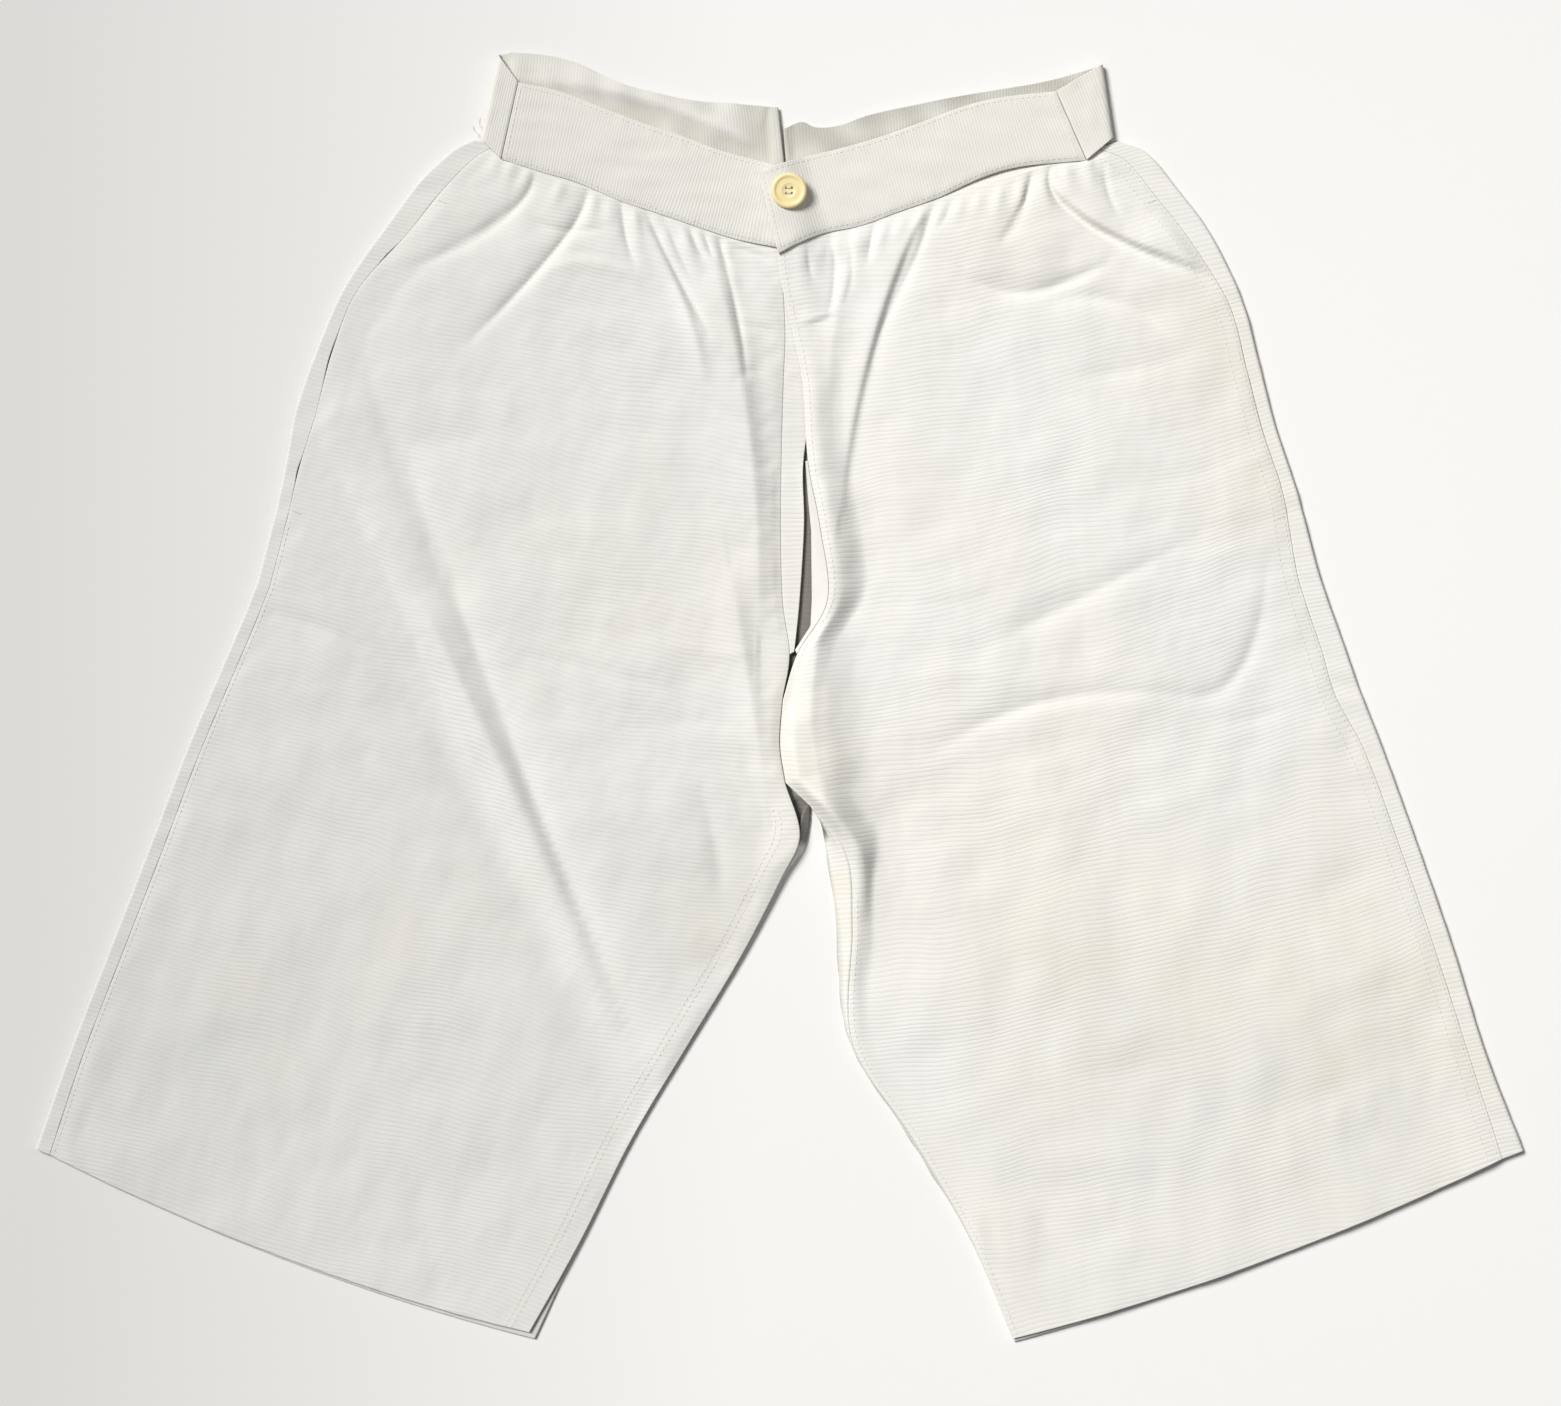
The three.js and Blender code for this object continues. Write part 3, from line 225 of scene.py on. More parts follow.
LEFT_CREASES = table(
    FOLD_COLUMNS,
    ((15, 253), (16, 243), (18, 233), -1.2, 2, 2.3),
    ((28, 258), (31, 236), (27, 214), -1.6, 2.1, 2),
    ((38, 260), (40, 238), (36, 220), -1, 2.1, 2),
    ((53, 264), (51, 254), (49, 243), -1.6, 2, 2.3),
    ((87, 281), (76, 246), (55, 203), -1.2, 2.1, 2.1),
    ((96, 278), (92, 268), (86, 260), -0.7, 2, 2),
    ((137, 297), (139, 284), (124, 256), -2, 2, 2),
    ((152, 298), (152, 284), (166, 270), -2.2, 2, 2),
    ((160, 277), (176, 262), (202, 249), -2.4, 2.3, 2),
    ((181, 300), (183, 284), (189, 270), -1.4, 2, 2),
    ((196, 297), (200, 291), (206, 286), -1, 2.1, 2),
    ((140, 226), (160, 233), (180, 241), -0.8, 2, 2.4),
    ((52, 150), (66, 156), (84, 154), -0.5, 4, 5),
    ((34, 118), (60, 112), (90, 120), 0.5, 5, 6),
    ((46, 60), (80, 52), (122, 60), -0.5, 6, 8),
    ((60, 8), (98, 14), (144, 8), 0.5, 6, 8),
    ((96, -36), (150, -30), (214, -10), -0.5, 8, 9),
    ((210, 118), (236, 126), (262, 138), -0.6, 6, 7),
    ((196, 84), (230, 78), (268, 88), 0.5, 7, 8),
    ((240, -14), (262, -12), (288, -4), -0.9, 4, 5),
    ((60, -120), (96, -116), (140, -100), 0.5, 7, 9),
    ((110, -190), (150, -184), (196, -160), -0.6, 8, 9),
    ((130, -252), (190, -256), (250, -240), 0.6, 8, 9),
    ((250, -120), (300, -108), (346, -84), -0.6, 8, 9),
    ((300, -160), (336, -150), (372, -132), 0.5, 7, 8),
    ((136, -330), (160, -318), (190, -310), 0.5, 6, 8),
)

# The ridge beside the fly opening, down to the raised crotch. reach: how far its flank runs, and
# dip: how far the cloth sinks where the flank ends.
FLY_RIDGE = table(
    "at rise reach dip",
    ((8.5, 240), 0, 8, 0),
    ((16, 166), 0.8, 14, 0.8),
    ((19, 122), 1.2, 20, 1.8),
    ((22, 88), 1.4, 18, 2.4),
    ((25, 54), 1.6, 9, 2.6),
    ((20, 24), 5, 14, 2.4),
    ((18, 4), 7, 21, 2.2),
    ((17, -13), 9.4, 30, 2.4),
    ((21, -40), 10.6, 37, 2.4),
    ((28, -70), 8.6, 32, 2.2),
    ((35, -88), 5.4, 23, 1.8),
    ((39, -104), 3.8, 16, 1.4),
    ((40.5, -130), 2, 10, 1),
    ((39, -186), 0, 6, 0),
)

# Gathers under the waistband: at: place along the band, depth: height, length: how far the
# pleat runs down, lean: how far its end drifts sideways.
GATHER_COLUMNS = "at depth length lean"
RIGHT_GATHERS = table(
    GATHER_COLUMNS,
    (-157, 0.8, 16, -6),
    (-148, 1, 20, -8),
    (-138, 1.2, 26, -12),
    (-120, 1.3, 24, -10),
    (-103, 1.3, 30, -6),
    (-94, 1.2, 22, -2),
    (-82, 1.6, 34, 4),
    (-66, 1.2, 24, 8),
    (-57, 1.6, 30, 12),
    (-49, 1.5, 26, 12),
    (-41, 1.6, 34, 11),
    (-32, 1.4, 44, 8),
    (-20, 0.8, 18, 8),
)
LEFT_GATHERS = table(
    GATHER_COLUMNS,
    (14, 1, 20, 0),
    (23, 1.2, 26, -1),
    (32, 1.2, 24, -2),
    (44, 1.4, 22, -3),
    (60, 1.5, 26, -6),
    (70, 1.3, 20, -6),
    (81, 1.8, 34, -9),
    (92, 1.4, 24, -6),
    (102, 1.3, 20, -4),
    (112, 1.2, 18, -3),
    (124, 1.4, 24, -4),
    (136, 1.6, 28, -3),
    (147, 1.5, 26, 3),
    (158, 1.2, 18, 6),
    (170, 1.4, 22, 8),
    (180, 1, 14, 6),
)

# Pocket bags inside, from top to bottom.
RIGHT_BAG = table(
    "outer inner",
    ((-203, 258), (-160, 246)),
    ((-231, 218), (-166, 196)),
    ((-256, 152), (-178, 124)),
    ((-268, 100), (-190, 72)),
    ((-280, 68), (-204, 42)),
    ((-276, 56), (-214, 36)),
)
LEFT_BAG = table(
    "outer inner",
    ((222, 252), (176, 240)),
    ((246, 214), (178, 186)),
    ((262, 152), (180, 120)),
    ((274, 100), (182, 60)),
    ((272, 62), (186, 20)),
    ((240, 20), (196, 0)),
)

# Waistband pieces, as stations along the band.
FRONT_BAND_RIGHT = table(
    "top bottom",
    ((-146, 343.5), (-155.5, 300.5)),
    ((-123, 338.5), (-131.5, 293)),
    ((-101, 330), (-113, 287.5)),
    ((-78.5, 321.5), (-88.5, 277)),
    ((-56, 314), (-73, 272)),
    ((-33.5, 305.5), (-45, 262.5)),
    ((-11, 299.5), (-22.5, 255.5)),
    ((6.5, 294.5), (8.5, 249.5)),
)
FRONT_BAND_LEFT = table(
    "top bottom",
    ((-12, 293), (-1, 247.5)),
    ((11, 301), (22.5, 258.5)),
    ((33.5, 306.5), (45, 263.5)),
    ((56, 313), (67, 271.5)),
    ((78.5, 321), (89.5, 279.5)),
    ((101, 329.5), (112, 290)),
    ((123, 335), (134.5, 296.5)),
    ((154, 338.5), (171, 300)),
)
BACK_BAND_RIGHT = {
    "top": line(
        *((-1, 330), (-22.5, 332), (-45, 333.5), (-67, 337.5)),
        *((-89.5, 343.5), (-112, 354), (-130, 359), (-153, 361)),
    ),
    "fold": {"top": (-157.5, 359), "bottom": (-167.5, 312.4)},
    "tab": {"top": (-146.2, 343.7), "bottom": (-155.7, 300.7)},
}
BACK_BAND_LEFT = {
    "top": line(
        *((2, 318), (12, 322), (20, 319), (33.5, 320), (50.5, 326)),
        *((78.5, 332), (101, 336.5), (145.5, 344), (176, 352)),
    ),
    "fold": {"top": (180.5, 354), "bottom": (186.5, 313)},
    "tab": {"top": (154.2, 338.6), "bottom": (171.2, 300.1)},
}
# The rolls and creases that show on the inner face of the back waistband
BACK_BAND_FOLDS = table(
    FOLD_COLUMNS,
    ((-156, 346), (-86, 337), (-14, 310), 2.4, 4, 3),
    ((-156, 355), (-84, 343), (-12, 324), 1.8, 6, 6),
    ((-6, 331), (-7.5, 318), (-6, 300), -1.6, 1.2, 1.2),
    ((-4, 331), (-4, 318), (-3, 300), 0.8, 0.9, 0.9),
    ((-1, 331), (-1, 318), (0, 300), 0.8, 0.9, 0.9),
    ((2, 331), (2, 318), (3, 300), 0.8, 0.9, 0.9),
    ((8, 322), (8, 312), (7, 300), -1.4, 1.4, 1.4),
    ((30, 321), (90, 336), (160, 350), 1.6, 3, 3),
)

# Fly: the stand's free edge, and the facing that shows at the open lip
FLY_STAND_EDGE = line(
    *((19.5, 250), (19.5, 222.5), (19, 197.5), (18, 166.5)),
    *((13, 130), (13.5, 96.5), (11, 54.5), (8, 25.5)),
)
FLY_FACING = table(
    "row edge",
    (4, (14.2, 132)),
    (4.5, (15.6, 112)),
    (5, (17.4, 93)),
    (5.5, (17.6, 73)),
    (6, (17.8, 55)),
    (6.5, (17, 40)),
    (7, (8.4, 26.5)),
)

# ---------------------------------------------------------------- fineness


def row_steps(*ranges):
    """Places from ranges: (start, end, how many steps)."""
    steps = [ranges[0][0]]
    for start, end, count in ranges:
        steps.extend(start + (end - start) * i / count for i in range(1, count + 1))
    return np.array(steps)


FRONT_ROWS = row_steps((TUCK_ROW, 0, 3), (0, 3, 54), (3, 8, 70), (8, 13, 60), (13, 17, 42))
BACK_ROWS = row_steps((0, 9, 90), (9, 13, 50), (13, 17, 50))
FRONT_COLUMNS = 192
COLUMN_CROWDING = 1.1  # columns stand closer towards the fly and inner leg
EDGE_STEPS = np.array([0.0, 0.12, 0.3, 0.6, 1.1, 2.0])  # how far the rounded edges' points lie in
EDGE_ROUND = 0.35
CLOTH_TURN = 0.4  # how far the edges of the cloth are rounded, as a share of its thickness
BAND_TURN = 0.14  # the same for the waistband

# About how long and wide the pieces are, which places the close points at their edges.
LEG_LENGTH = 620
LEG_WIDTH = 300
BAND_LENGTH = 170
BAND_DEPTH = 44
BACK_BAND_DEPTH = 46
STAND_LENGTH = 225
STAND_WIDTH = 18
FACING_LENGTH = 110
FACING_WIDTH = 9
BAG_LENGTH = 200
BAG_WIDTH = 60


def with_edges(steps, length):
    """Places from 0 to 1 with close ones at both ends, so that the edges come out rounded."""
    near = EDGE_STEPS / length
    inner = steps[(steps > near[-1] * 1.4) & (steps < 1 - near[-1] * 1.4)]
    return np.concatenate([near, inner, 1 - near[::-1]])


def spaced(count, length):
    """Even places from 0 to 1 along a length, with close ones at both ends."""
    return with_edges(np.linspace(0, 1, count), length)


# ---------------------------------------------------------------- shapes worked out from the tables


def smoothstep(low, high, x):
    t = np.clip((x - low) / (high - low), 0, 1)
    return t * t * (3 - 2 * t)


def mix(a, b, t):
    return a + (b - a) * t


def length_of(vector):
    return np.sqrt((vector**2).sum(axis=-1))


def run_along(points):
    """How far each point of a line is from its start, along the line."""
    return np.concatenate([[0], np.cumsum(length_of(np.diff(points, axis=0)))])


def read_row(rows, v, corners=()):
    """Each column of a table at places v, drawn smoothly through the rows."""
    v = np.asarray(v, float)
    last = len(rows) - 1
    i = np.clip(np.floor(v).astype(int), 0, last - 1)
    sharp_start = (i == 0) | np.isin(i, corners)
    sharp_end = (i + 1 == last) | np.isin(i + 1, corners)
    result = {}
    for name in rows[0]:
        values = np.array([row[name] for row in rows], float)
        spread = (...,) + (None,) * (values.ndim - 1)
        t = (v - i)[spread]
        start, end = values[i], values[i + 1]
        before = np.where(sharp_start[spread], 2 * start - end, values[np.maximum(i - 1, 0)])
        after = np.where(sharp_end[spread], 2 * end - start, values[np.minimum(i + 2, last)])
        slope_in = (end - before) / 2
        slope_out = (after - start) / 2
        bend = 3 * (end - start) - 2 * slope_in - slope_out
        twist = 2 * (start - end) + slope_in + slope_out
        result[name] = start + t * (slope_in + t * (bend + t * twist))
    return result


def nearest(points, x, y):
    """The nearest place on a polyline: distance, positive to its left, and how far along it is."""
    off = np.full(np.broadcast(x, y).shape, np.inf)
    along = np.zeros_like(off)
    for i, ((ax, ay), (bx, by)) in enumerate(zip(points[:-1], points[1:])):
        dx, dy = bx - ax, by - ay
        t = np.clip(((x - ax) * dx + (y - ay) * dy) / (dx * dx + dy * dy), 0, 1)
        ox, oy = x - ax - dx * t, y - ay - dy * t
        away = np.hypot(ox, oy)
        closer = away < np.abs(off)
        side = np.where(dx * oy - dy * ox >= 0, 1, -1)
        off = np.where(closer, side * away, off)
        along = np.where(closer, i + t, along)
    return off, along


def bell(off, left, right):
    """1 on a fold's line, dying away over its half width on either side."""
    return np.exp(-(np.abs(off / np.where(off > 0, left, right)) ** FOLD_SHARPNESS))


FOLD_STEPS = 12


def fold_height(fold, x, y):
    """A fold's height at points: a bell across its curve, which tapers towards both of its ends."""
    t = np.linspace(0, 1, FOLD_STEPS + 1)[:, None]
    start, through, end = (np.array(fold[name], float) for name in ("start", "through", "end"))
    curve = mix(mix(start, through, t * 2), mix(through, end, t * 2 - 1), t)
    reach = 3 * max(fold["left"], fold["right"])
    low, high = curve.min(axis=0) - reach, curve.max(axis=0) + reach
    near = (x > low[0]) & (x < high[0]) & (y > low[1]) & (y < high[1])
    height = np.zeros(np.broadcast(x, y).shape)
    if near.any():
        off, along = nearest(curve, x[near], y[near])
        taper = np.sin(math.pi * (0.08 + 0.84 * along / FOLD_STEPS))
        height[near] = fold["rise"] * taper * bell(off, fold["left"], fold["right"])
    return height


def ridge_height(x, y):
    """Rounded towards the fly, and a straight flank on the other side that ends in a crease."""
    off, along = nearest([row["at"] for row in FLY_RIDGE], x, y)
    row = read_row(FLY_RIDGE, along)
    share = np.abs(off) / (row["reach"].clip(4) * (1 + 0.08 * undulation(x, y, 60, 3)))
    flank = np.clip(1 - share, 0, 1) ** FLANK_HOLLOW
    near_side = np.exp(-((off / FLY_RIDGE_LEFT) ** 2))
    beyond = (np.abs(off) - row["reach"]).clip(0)
    dip = row["dip"] * smoothstep(0, 1, share) * (1 - smoothstep(0, DIP_RUN, beyond))
    return np.where(off > 0, row["rise"] * near_side, row["rise"] * flank - dip)


def gather_height(gathers, x, below):
    """The pleats under the band: each starts at the band, drifts by its lean and dies away."""
    height = np.zeros(np.broadcast(x, below).shape)
    for gather in gathers:
        share = below / gather["length"]
        centre = gather["at"] + gather["lean"] * share
        spread = GATHER_HALF_WIDTH * (0.8 + 0.7 * share)
        swell = smoothstep(0, 0.2, share) * np.clip(1 - share, 0, 1)
        pleat = np.exp(-(((x - centre) / np.maximum(spread, 0.5)) ** 2))
        height += GATHER_GAIN * gather["depth"] * swell * pleat
    return height


def inside_distance(outline, x, y):
    """Signed distance from points to a closed outline, positive inside."""
    near = np.full(np.broadcast(x, y).shape, np.inf)
    inside = np.zeros(near.shape, bool)
    for (ax, ay), (bx, by) in zip(outline, outline[1:] + outline[:1]):
        dx, dy = bx - ax, by - ay
        t = np.clip(((x - ax) * dx + (y - ay) * dy) / (dx * dx + dy * dy), 0, 1)
        near = np.minimum(near, np.hypot(x - ax - dx * t, y - ay - dy * t))
        crosses = (ay > y) != (by > y)
        inside ^= crosses & (x < ax + dx * (y - ay) / (dy or 1e-9))
    return np.where(inside, near, -near)


def undulation(x, y, wavelength, seed):
    """A smooth random field of about unit height, with waves of about the given length."""
    random = np.random.default_rng(seed)
    waves = 14
    total = np.zeros(np.broadcast(x, y).shape)
    for _ in range(waves):
        heading = random.uniform(0, math.tau)
        number = math.tau / wavelength * random.uniform(0.7, 1.4)
        phase = random.uniform(0, math.tau)
        total += np.sin(number * (x * math.cos(heading) + y * math.sin(heading)) + phase)
    return total / math.sqrt(waves / 2)


CONTACT_ROUND = 0.6  # how softly the cloth comes to lie on what is below it


def soft_max(height, lowest):
    """The larger of two heights, rounded where they cross, and never below the second."""
    over = height - lowest
    return lowest + (over + np.sqrt(over * over + CONTACT_ROUND**2)) / 2


GATHERED_ROWS = 4  # the sections that the pleats under the band reach over
REST_EASE = 0.2  # between the cloth at rest and what is below it
WAIST_EASE = 0.7  # how much more near the waist
PUFF_ROUND = 0.65  # 1 for a half wave across the leg, less for a fuller leg
SIDE_TURN = (2, 26)  # where the cloth comes down from the side seam, measured from the seam
# The cloth leaves its raised inner edge at the first distance and has come down at the second.
WAIST_TURN = (10, 30)
THIGH_TURN = (2, 24)
CALF_TURN = (2, 13)
CROTCH_ROWS = (11.4, 12.6)  # from the thigh's distances to the calf's
HEM_ROW_STEP = 58  # from one section to the next, near the hem


class Leg:
    """One leg's tables, and the shape that they give its cloth."""

    def __init__(self, rows, folds, creases, gathers, gapes, bag, bag_relief, outward, seed):
        fold = np.array([row["fold"] for row in rows], float)
        front = np.array([row["front"] for row in rows], float)
        lap = np.array([row["lap"] for row in rows], float)[:, None]
        seam = fold + (front - fold) * lap / length_of(front - fold)[:, None]
        self.rows = [dict(row, seam=tuple(at)) for row, at in zip(rows, seam)]
        self.folds = folds
        self.creases = creases
        self.gathers = gathers
        self.gapes = gapes
        self.bag_outline = [row["outer"] for row in bag] + [row["inner"] for row in bag][::-1]
        self.outward = outward
        self.bag_relief = bag_relief
        self.seed = seed

    def section(self, v):
        """The leg's tables at places v from the waist (0) to the hem's edge (17)."""
        section = read_row(self.rows, v, CORNER_ROWS)
        section["rise"] = np.clip(section["rise"], 0, 1)
        section["front"][..., 0] += GAP / 2 * self.outward
        section["back"][..., 0] += GAP / 2 * self.outward
        section["slit"] = CLOSED_SEAM + sum(
            gape["width"] * np.exp(-(((v - gape["row"]) / gape["spread"]) ** 2)) for gape in self.gapes
        )
        return section

    def bowed(self, section, start, end, u):
        """A point at u across a section, which bows by its sag."""
        point = mix(start, end, np.asarray(u)[..., None])
        return point[..., 0], point[..., 1] - section["sag"] * 4 * u * (1 - u)

    def wall(self, v):
        """Thickness: one layer, and more at the turned-up hem."""
        return mix(WALL, HEM_WALL, smoothstep(HEM_ROW - 0.6, HEM_ROW + 1, v))

    def level(self, u, v):
        """Where the front panel's underside is at u from the side seam (0) to its inner edge (1)."""
        section = self.section(v)
        width = length_of(section["front"] - section["seam"])
        from_side = u * width
        from_inner = (1 - u) * width
        x, y = self.bowed(section, section["seam"], section["front"], u)
        floor = self.wall(v) + GAP
        height = self.main_form(section, floor, u, v, from_side, from_inner)
        away = smoothstep(0, 8, from_side) * smoothstep(0, 6, from_inner) * smoothstep(0.2, 0.7, v)
        for fold in self.folds:
            height = height + FOLD_GAIN * away * fold_height(fold, x, y)
        if self.outward > 0:
            height = height + ridge_height(x, y) * smoothstep(0, 9, from_inner)
        edge = self.section(0)
        below = self.bowed(edge, edge["seam"], edge["front"], u)[1] - y
        pleated = (np.asarray(v) > 0) & (np.asarray(v) < GATHERED_ROWS)
        height = height + away * pleated * gather_height(self.gathers, x, below)
        height = height + self.finer(x, y, u, v, from_side, from_inner, away)
        bag_level = floor + BAG_WALL + 2 * GAP
        over_bag = smoothstep(-BAG_EDGE, -2, inside_distance(self.bag_outline, x, y))
        lowest = mix(floor, bag_level, over_bag)
        height = soft_max(height + self.bag_relief * over_bag, lowest)
        return x, y, height + away * self.crumple(x, y)

    def main_form(self, section, floor, u, v, from_side, from_inner):
        """The panel without its folds: air in the leg, the side seam and the raised inner edge."""
        at_waist = WAIST_EASE * (1 - smoothstep(0, 1.5, v))
        rest = floor + REST_EASE + at_waist - TUCK_DIP * (1 - smoothstep(-0.1, 0.22, v))
        height = rest + section["puff"] * np.sin(math.pi * u).clip(0) ** PUFF_ROUND
        height = height + (SIDE_LEVEL - rest) * (1 - smoothstep(*SIDE_TURN, from_side))
        near_waist = np.asarray(v) < 2
        below_crotch = smoothstep(*CROTCH_ROWS, v)
        turn_start, turn_end = (
            np.where(near_waist, waist, mix(thigh, calf, below_crotch))
            for waist, thigh, calf in zip(WAIST_TURN, THIGH_TURN, CALF_TURN)
        )
        return height + (section["lift"] - rest) * (1 - smoothstep(turn_start, turn_end, from_inner))

    def crumple(self, x, y):
        """The smallest unevenness, which the cloth keeps where it touches what is below it."""
        return 0.07 + 0.05 * undulation(x, y, 12, self.seed + 2).clip(-1.4, 1.4)

    def finer(self, x, y, u, v, from_side, from_inner, away):
        """Creases, puckers along the seams and the slight unevenness of washed cloth."""
        from_band = smoothstep(0, 8, from_side) * smoothstep(0, 6, from_inner) * smoothstep(0.1, 0.32, v)
        height = sum(from_band * fold_height(crease, x, y) for crease in self.creases)
        swells = 0.34 * undulation(x, y, 74, self.seed) + 0.16 * undulation(x, y, 31, self.seed + 1)
        height = height + away * swells
        across_seam = y + 0.4 * x * self.outward
        side_pucker = undulation(across_seam, 0.2 * x, 17, self.seed + 3)
        inner_pucker = undulation(across_seam, 0.2 * x, 14, self.seed + 4)
        height = height + 0.13 * side_pucker * np.exp(-((from_side - 5) / 5) ** 2) * (from_side > 1)
        height = height + 0.16 * inner_pucker * np.exp(-((from_inner - 7) / 6) ** 2)
        above_hem = (HEM_ROW - v) * HEM_ROW_STEP
        hem_pucker = undulation(x, 0.3 * y, 19, self.seed + 5)
        return height + 0.2 * hem_pucker * np.exp(-((above_hem / 7) ** 2)) * away


right_leg = Leg(RIGHT_LEG, RIGHT_FOLDS, RIGHT_CREASES, RIGHT_GATHERS, POCKET_GAPES, RIGHT_BAG, 0, -1, 11)
left_leg = Leg(LEFT_LEG, LEFT_FOLDS, LEFT_CREASES, LEFT_GATHERS, [], LEFT_BAG, 0.5, 1, 31)

# ---------------------------------------------------------------- walls of cloth


class Skin:
    """The upper face of a piece, where its stitches lie."""

    def __init__(self, rows, columns, upper):
        self.rows = rows
        self.columns = columns
        self.upper = upper

    def at(self, u, v):
        i = np.interp(v, self.rows, np.arange(len(self.rows)))
        j = np.interp(u, self.columns, np.arange(len(self.columns)))
        i0 = np.minimum(i.astype(int), len(self.rows) - 2)
        j0 = np.minimum(j.astype(int), len(self.columns) - 2)
        di, dj = (i - i0)[:, None], (j - j0)[:, None]
        near = mix(self.upper[i0, j0], self.upper[i0, j0 + 1], dj)
        far = mix(self.upper[i0 + 1, j0], self.upper[i0 + 1, j0 + 1], dj)
        return mix(near, far, di)


SHORTEST_STEP = 0.5  # a slope isn't measured over less
STEEPEST = 1.8  # the most that a wall is thickened upright on a slope


def upright_wall(lower, thickness):
    """The upper face over a height field: thicker upright where it slopes."""

    def rise(axis):
        padded = np.concatenate([lower.take([0], axis), lower, lower.take([-1], axis)], axis)
        count = padded.shape[axis]
        step = padded.take(range(2, count), axis) - padded.take(range(count - 2), axis)
        return np.abs(step[..., 2]) / np.maximum(SHORTEST_STEP, np.hypot(step[..., 0], step[..., 1]))

    slope = np.hypot(rise(0), rise(1))
    upper = lower.copy()
    upper[..., 2] += thickness * np.minimum(STEEPEST, np.sqrt(1 + slope**2))
    return upper


def edge_distance(grid):
    """How far each point of a grid lies from the nearest edge of the grid."""
    nearest_edge = np.full(grid.shape[:2], np.inf)
    for axis in (0, 1):
        step = length_of(np.diff(grid, axis=axis))
        run = np.cumsum(step, axis=axis)
        start = np.concatenate([np.zeros_like(run.take([0], axis)), run], axis)
        nearest_edge = np.minimum(nearest_edge, np.minimum(start, start.take([-1], axis) - start))
    return nearest_edge


def rounded(lower, upper, turn):
    """Both faces drawn together at the edges, so that the wall ends in a soft turned edge."""
    inward = np.clip(1 - edge_distance(lower) / EDGE_ROUND, 0, 1)
    squeeze = (turn * (1 - np.sqrt(1 - inward**2)))[..., None]
    return mix(lower, upper, squeeze), mix(upper, lower, squeeze)


def cloth_mesh(name, lower, upper, cloth_map, turn=CLOTH_TURN):
    """A closed wall between two grids of points. cloth_map holds each point's place in the weave."""
    lower, upper = rounded(lower, upper, turn)
    rows, columns = lower.shape[:2]
    index = np.arange(rows * columns).reshape(rows, columns)
    a, b, c, d = (index[:-1, :-1], index[:-1, 1:], index[1:, 1:], index[1:, :-1])
    under = np.stack([a, b, c, d], -1).reshape(-1, 4)
    top = under[:, ::-1] + rows * columns
    ring = np.concatenate([index[0, ::-1], index[1:, 0], index[-1, 1:], index[-2:0:-1, -1]])
    after = np.roll(ring, -1)
    border = np.stack([ring, after, after + rows * columns, ring + rows * columns], -1)
    faces = np.concatenate([under, top, border])
    points = np.concatenate([lower.reshape(-1, 3), upper.reshape(-1, 3)]) * MM
    corner = points[faces]
    volume = sum(
        np.einsum("ij,ij->i", corner[:, i], np.cross(corner[:, j], corner[:, k])).sum()
        for i, j, k in ((0, 1, 2), (0, 2, 3))
    )
    if volume < 0:
        faces = faces[:, ::-1]
    weave = np.tile(cloth_map.reshape(-1, 2), (2, 1)) * MM
    return make_object(name, points, faces.tolist(), weave)


def make_object(name, points, faces, weave=None):
    """A smooth object in the scene from points in metres. weave holds each point's place in the weave."""
    mesh = bpy.data.meshes.new(name)
    mesh.from_pydata(np.asarray(points).tolist(), [], faces)
    if weave is not None:
        layer = mesh.uv_layers.new(name="weave")
        corner = np.empty(len(mesh.loops), int)
        mesh.loops.foreach_get("vertex_index", corner)
        layer.data.foreach_set("uv", weave[corner].astype(np.float32).ravel())
    mesh.shade_smooth()
    mesh.validate()
    piece = bpy.data.objects.new(name, mesh)
    bpy.context.scene.collection.objects.link(piece)
    return piece


RIB_EASE = {"right": 75, "left": 110}  # how far from the middle the ribs take to their full climb
RIB_CLIMB = {"right": 0.29, "left": 0.27}


def rib_lines(x, y):
    """Place along and across the ribs, which climb outwards from the middle of the garment."""
    side = np.abs(x)
    ease = np.where(x < 0, RIB_EASE["right"], RIB_EASE["left"])
    steepness = np.where(x < 0, RIB_CLIMB["right"], RIB_CLIMB["left"])
    climb = steepness * (side - ease * (1 - np.exp(-side / ease)))
    wander = 1.6 * undulation(x, y, 130, 5) + 0.5 * undulation(x, y, 45, 6)
    return np.stack([x, y - climb + wander], -1)


def leg_rows(steps):
    """The places of a panel's cross rows, with close ones at the waist and the hem."""
    top, bottom = steps[0], steps[-1]
    return top + (bottom - top) * with_edges((steps - top) / (bottom - top), LEG_LENGTH)


def front_panel(name, leg):
    """A front panel, and its upper face for the stitches."""
    even = np.linspace(0, 1, FRONT_COLUMNS + 1)
    columns = with_edges(1 - (1 - even) ** COLUMN_CROWDING, LEG_WIDTH)
    rows = leg_rows(FRONT_ROWS)
    x, y, z = leg.level(columns[None, :], rows[:, None])
    lower = np.stack([x, y, z], -1)
    upper = upright_wall(lower, leg.wall(rows)[:, None])
    piece = cloth_mesh(name, lower, upper, rib_lines(x, y))
    return piece, Skin(rows, columns, upper)


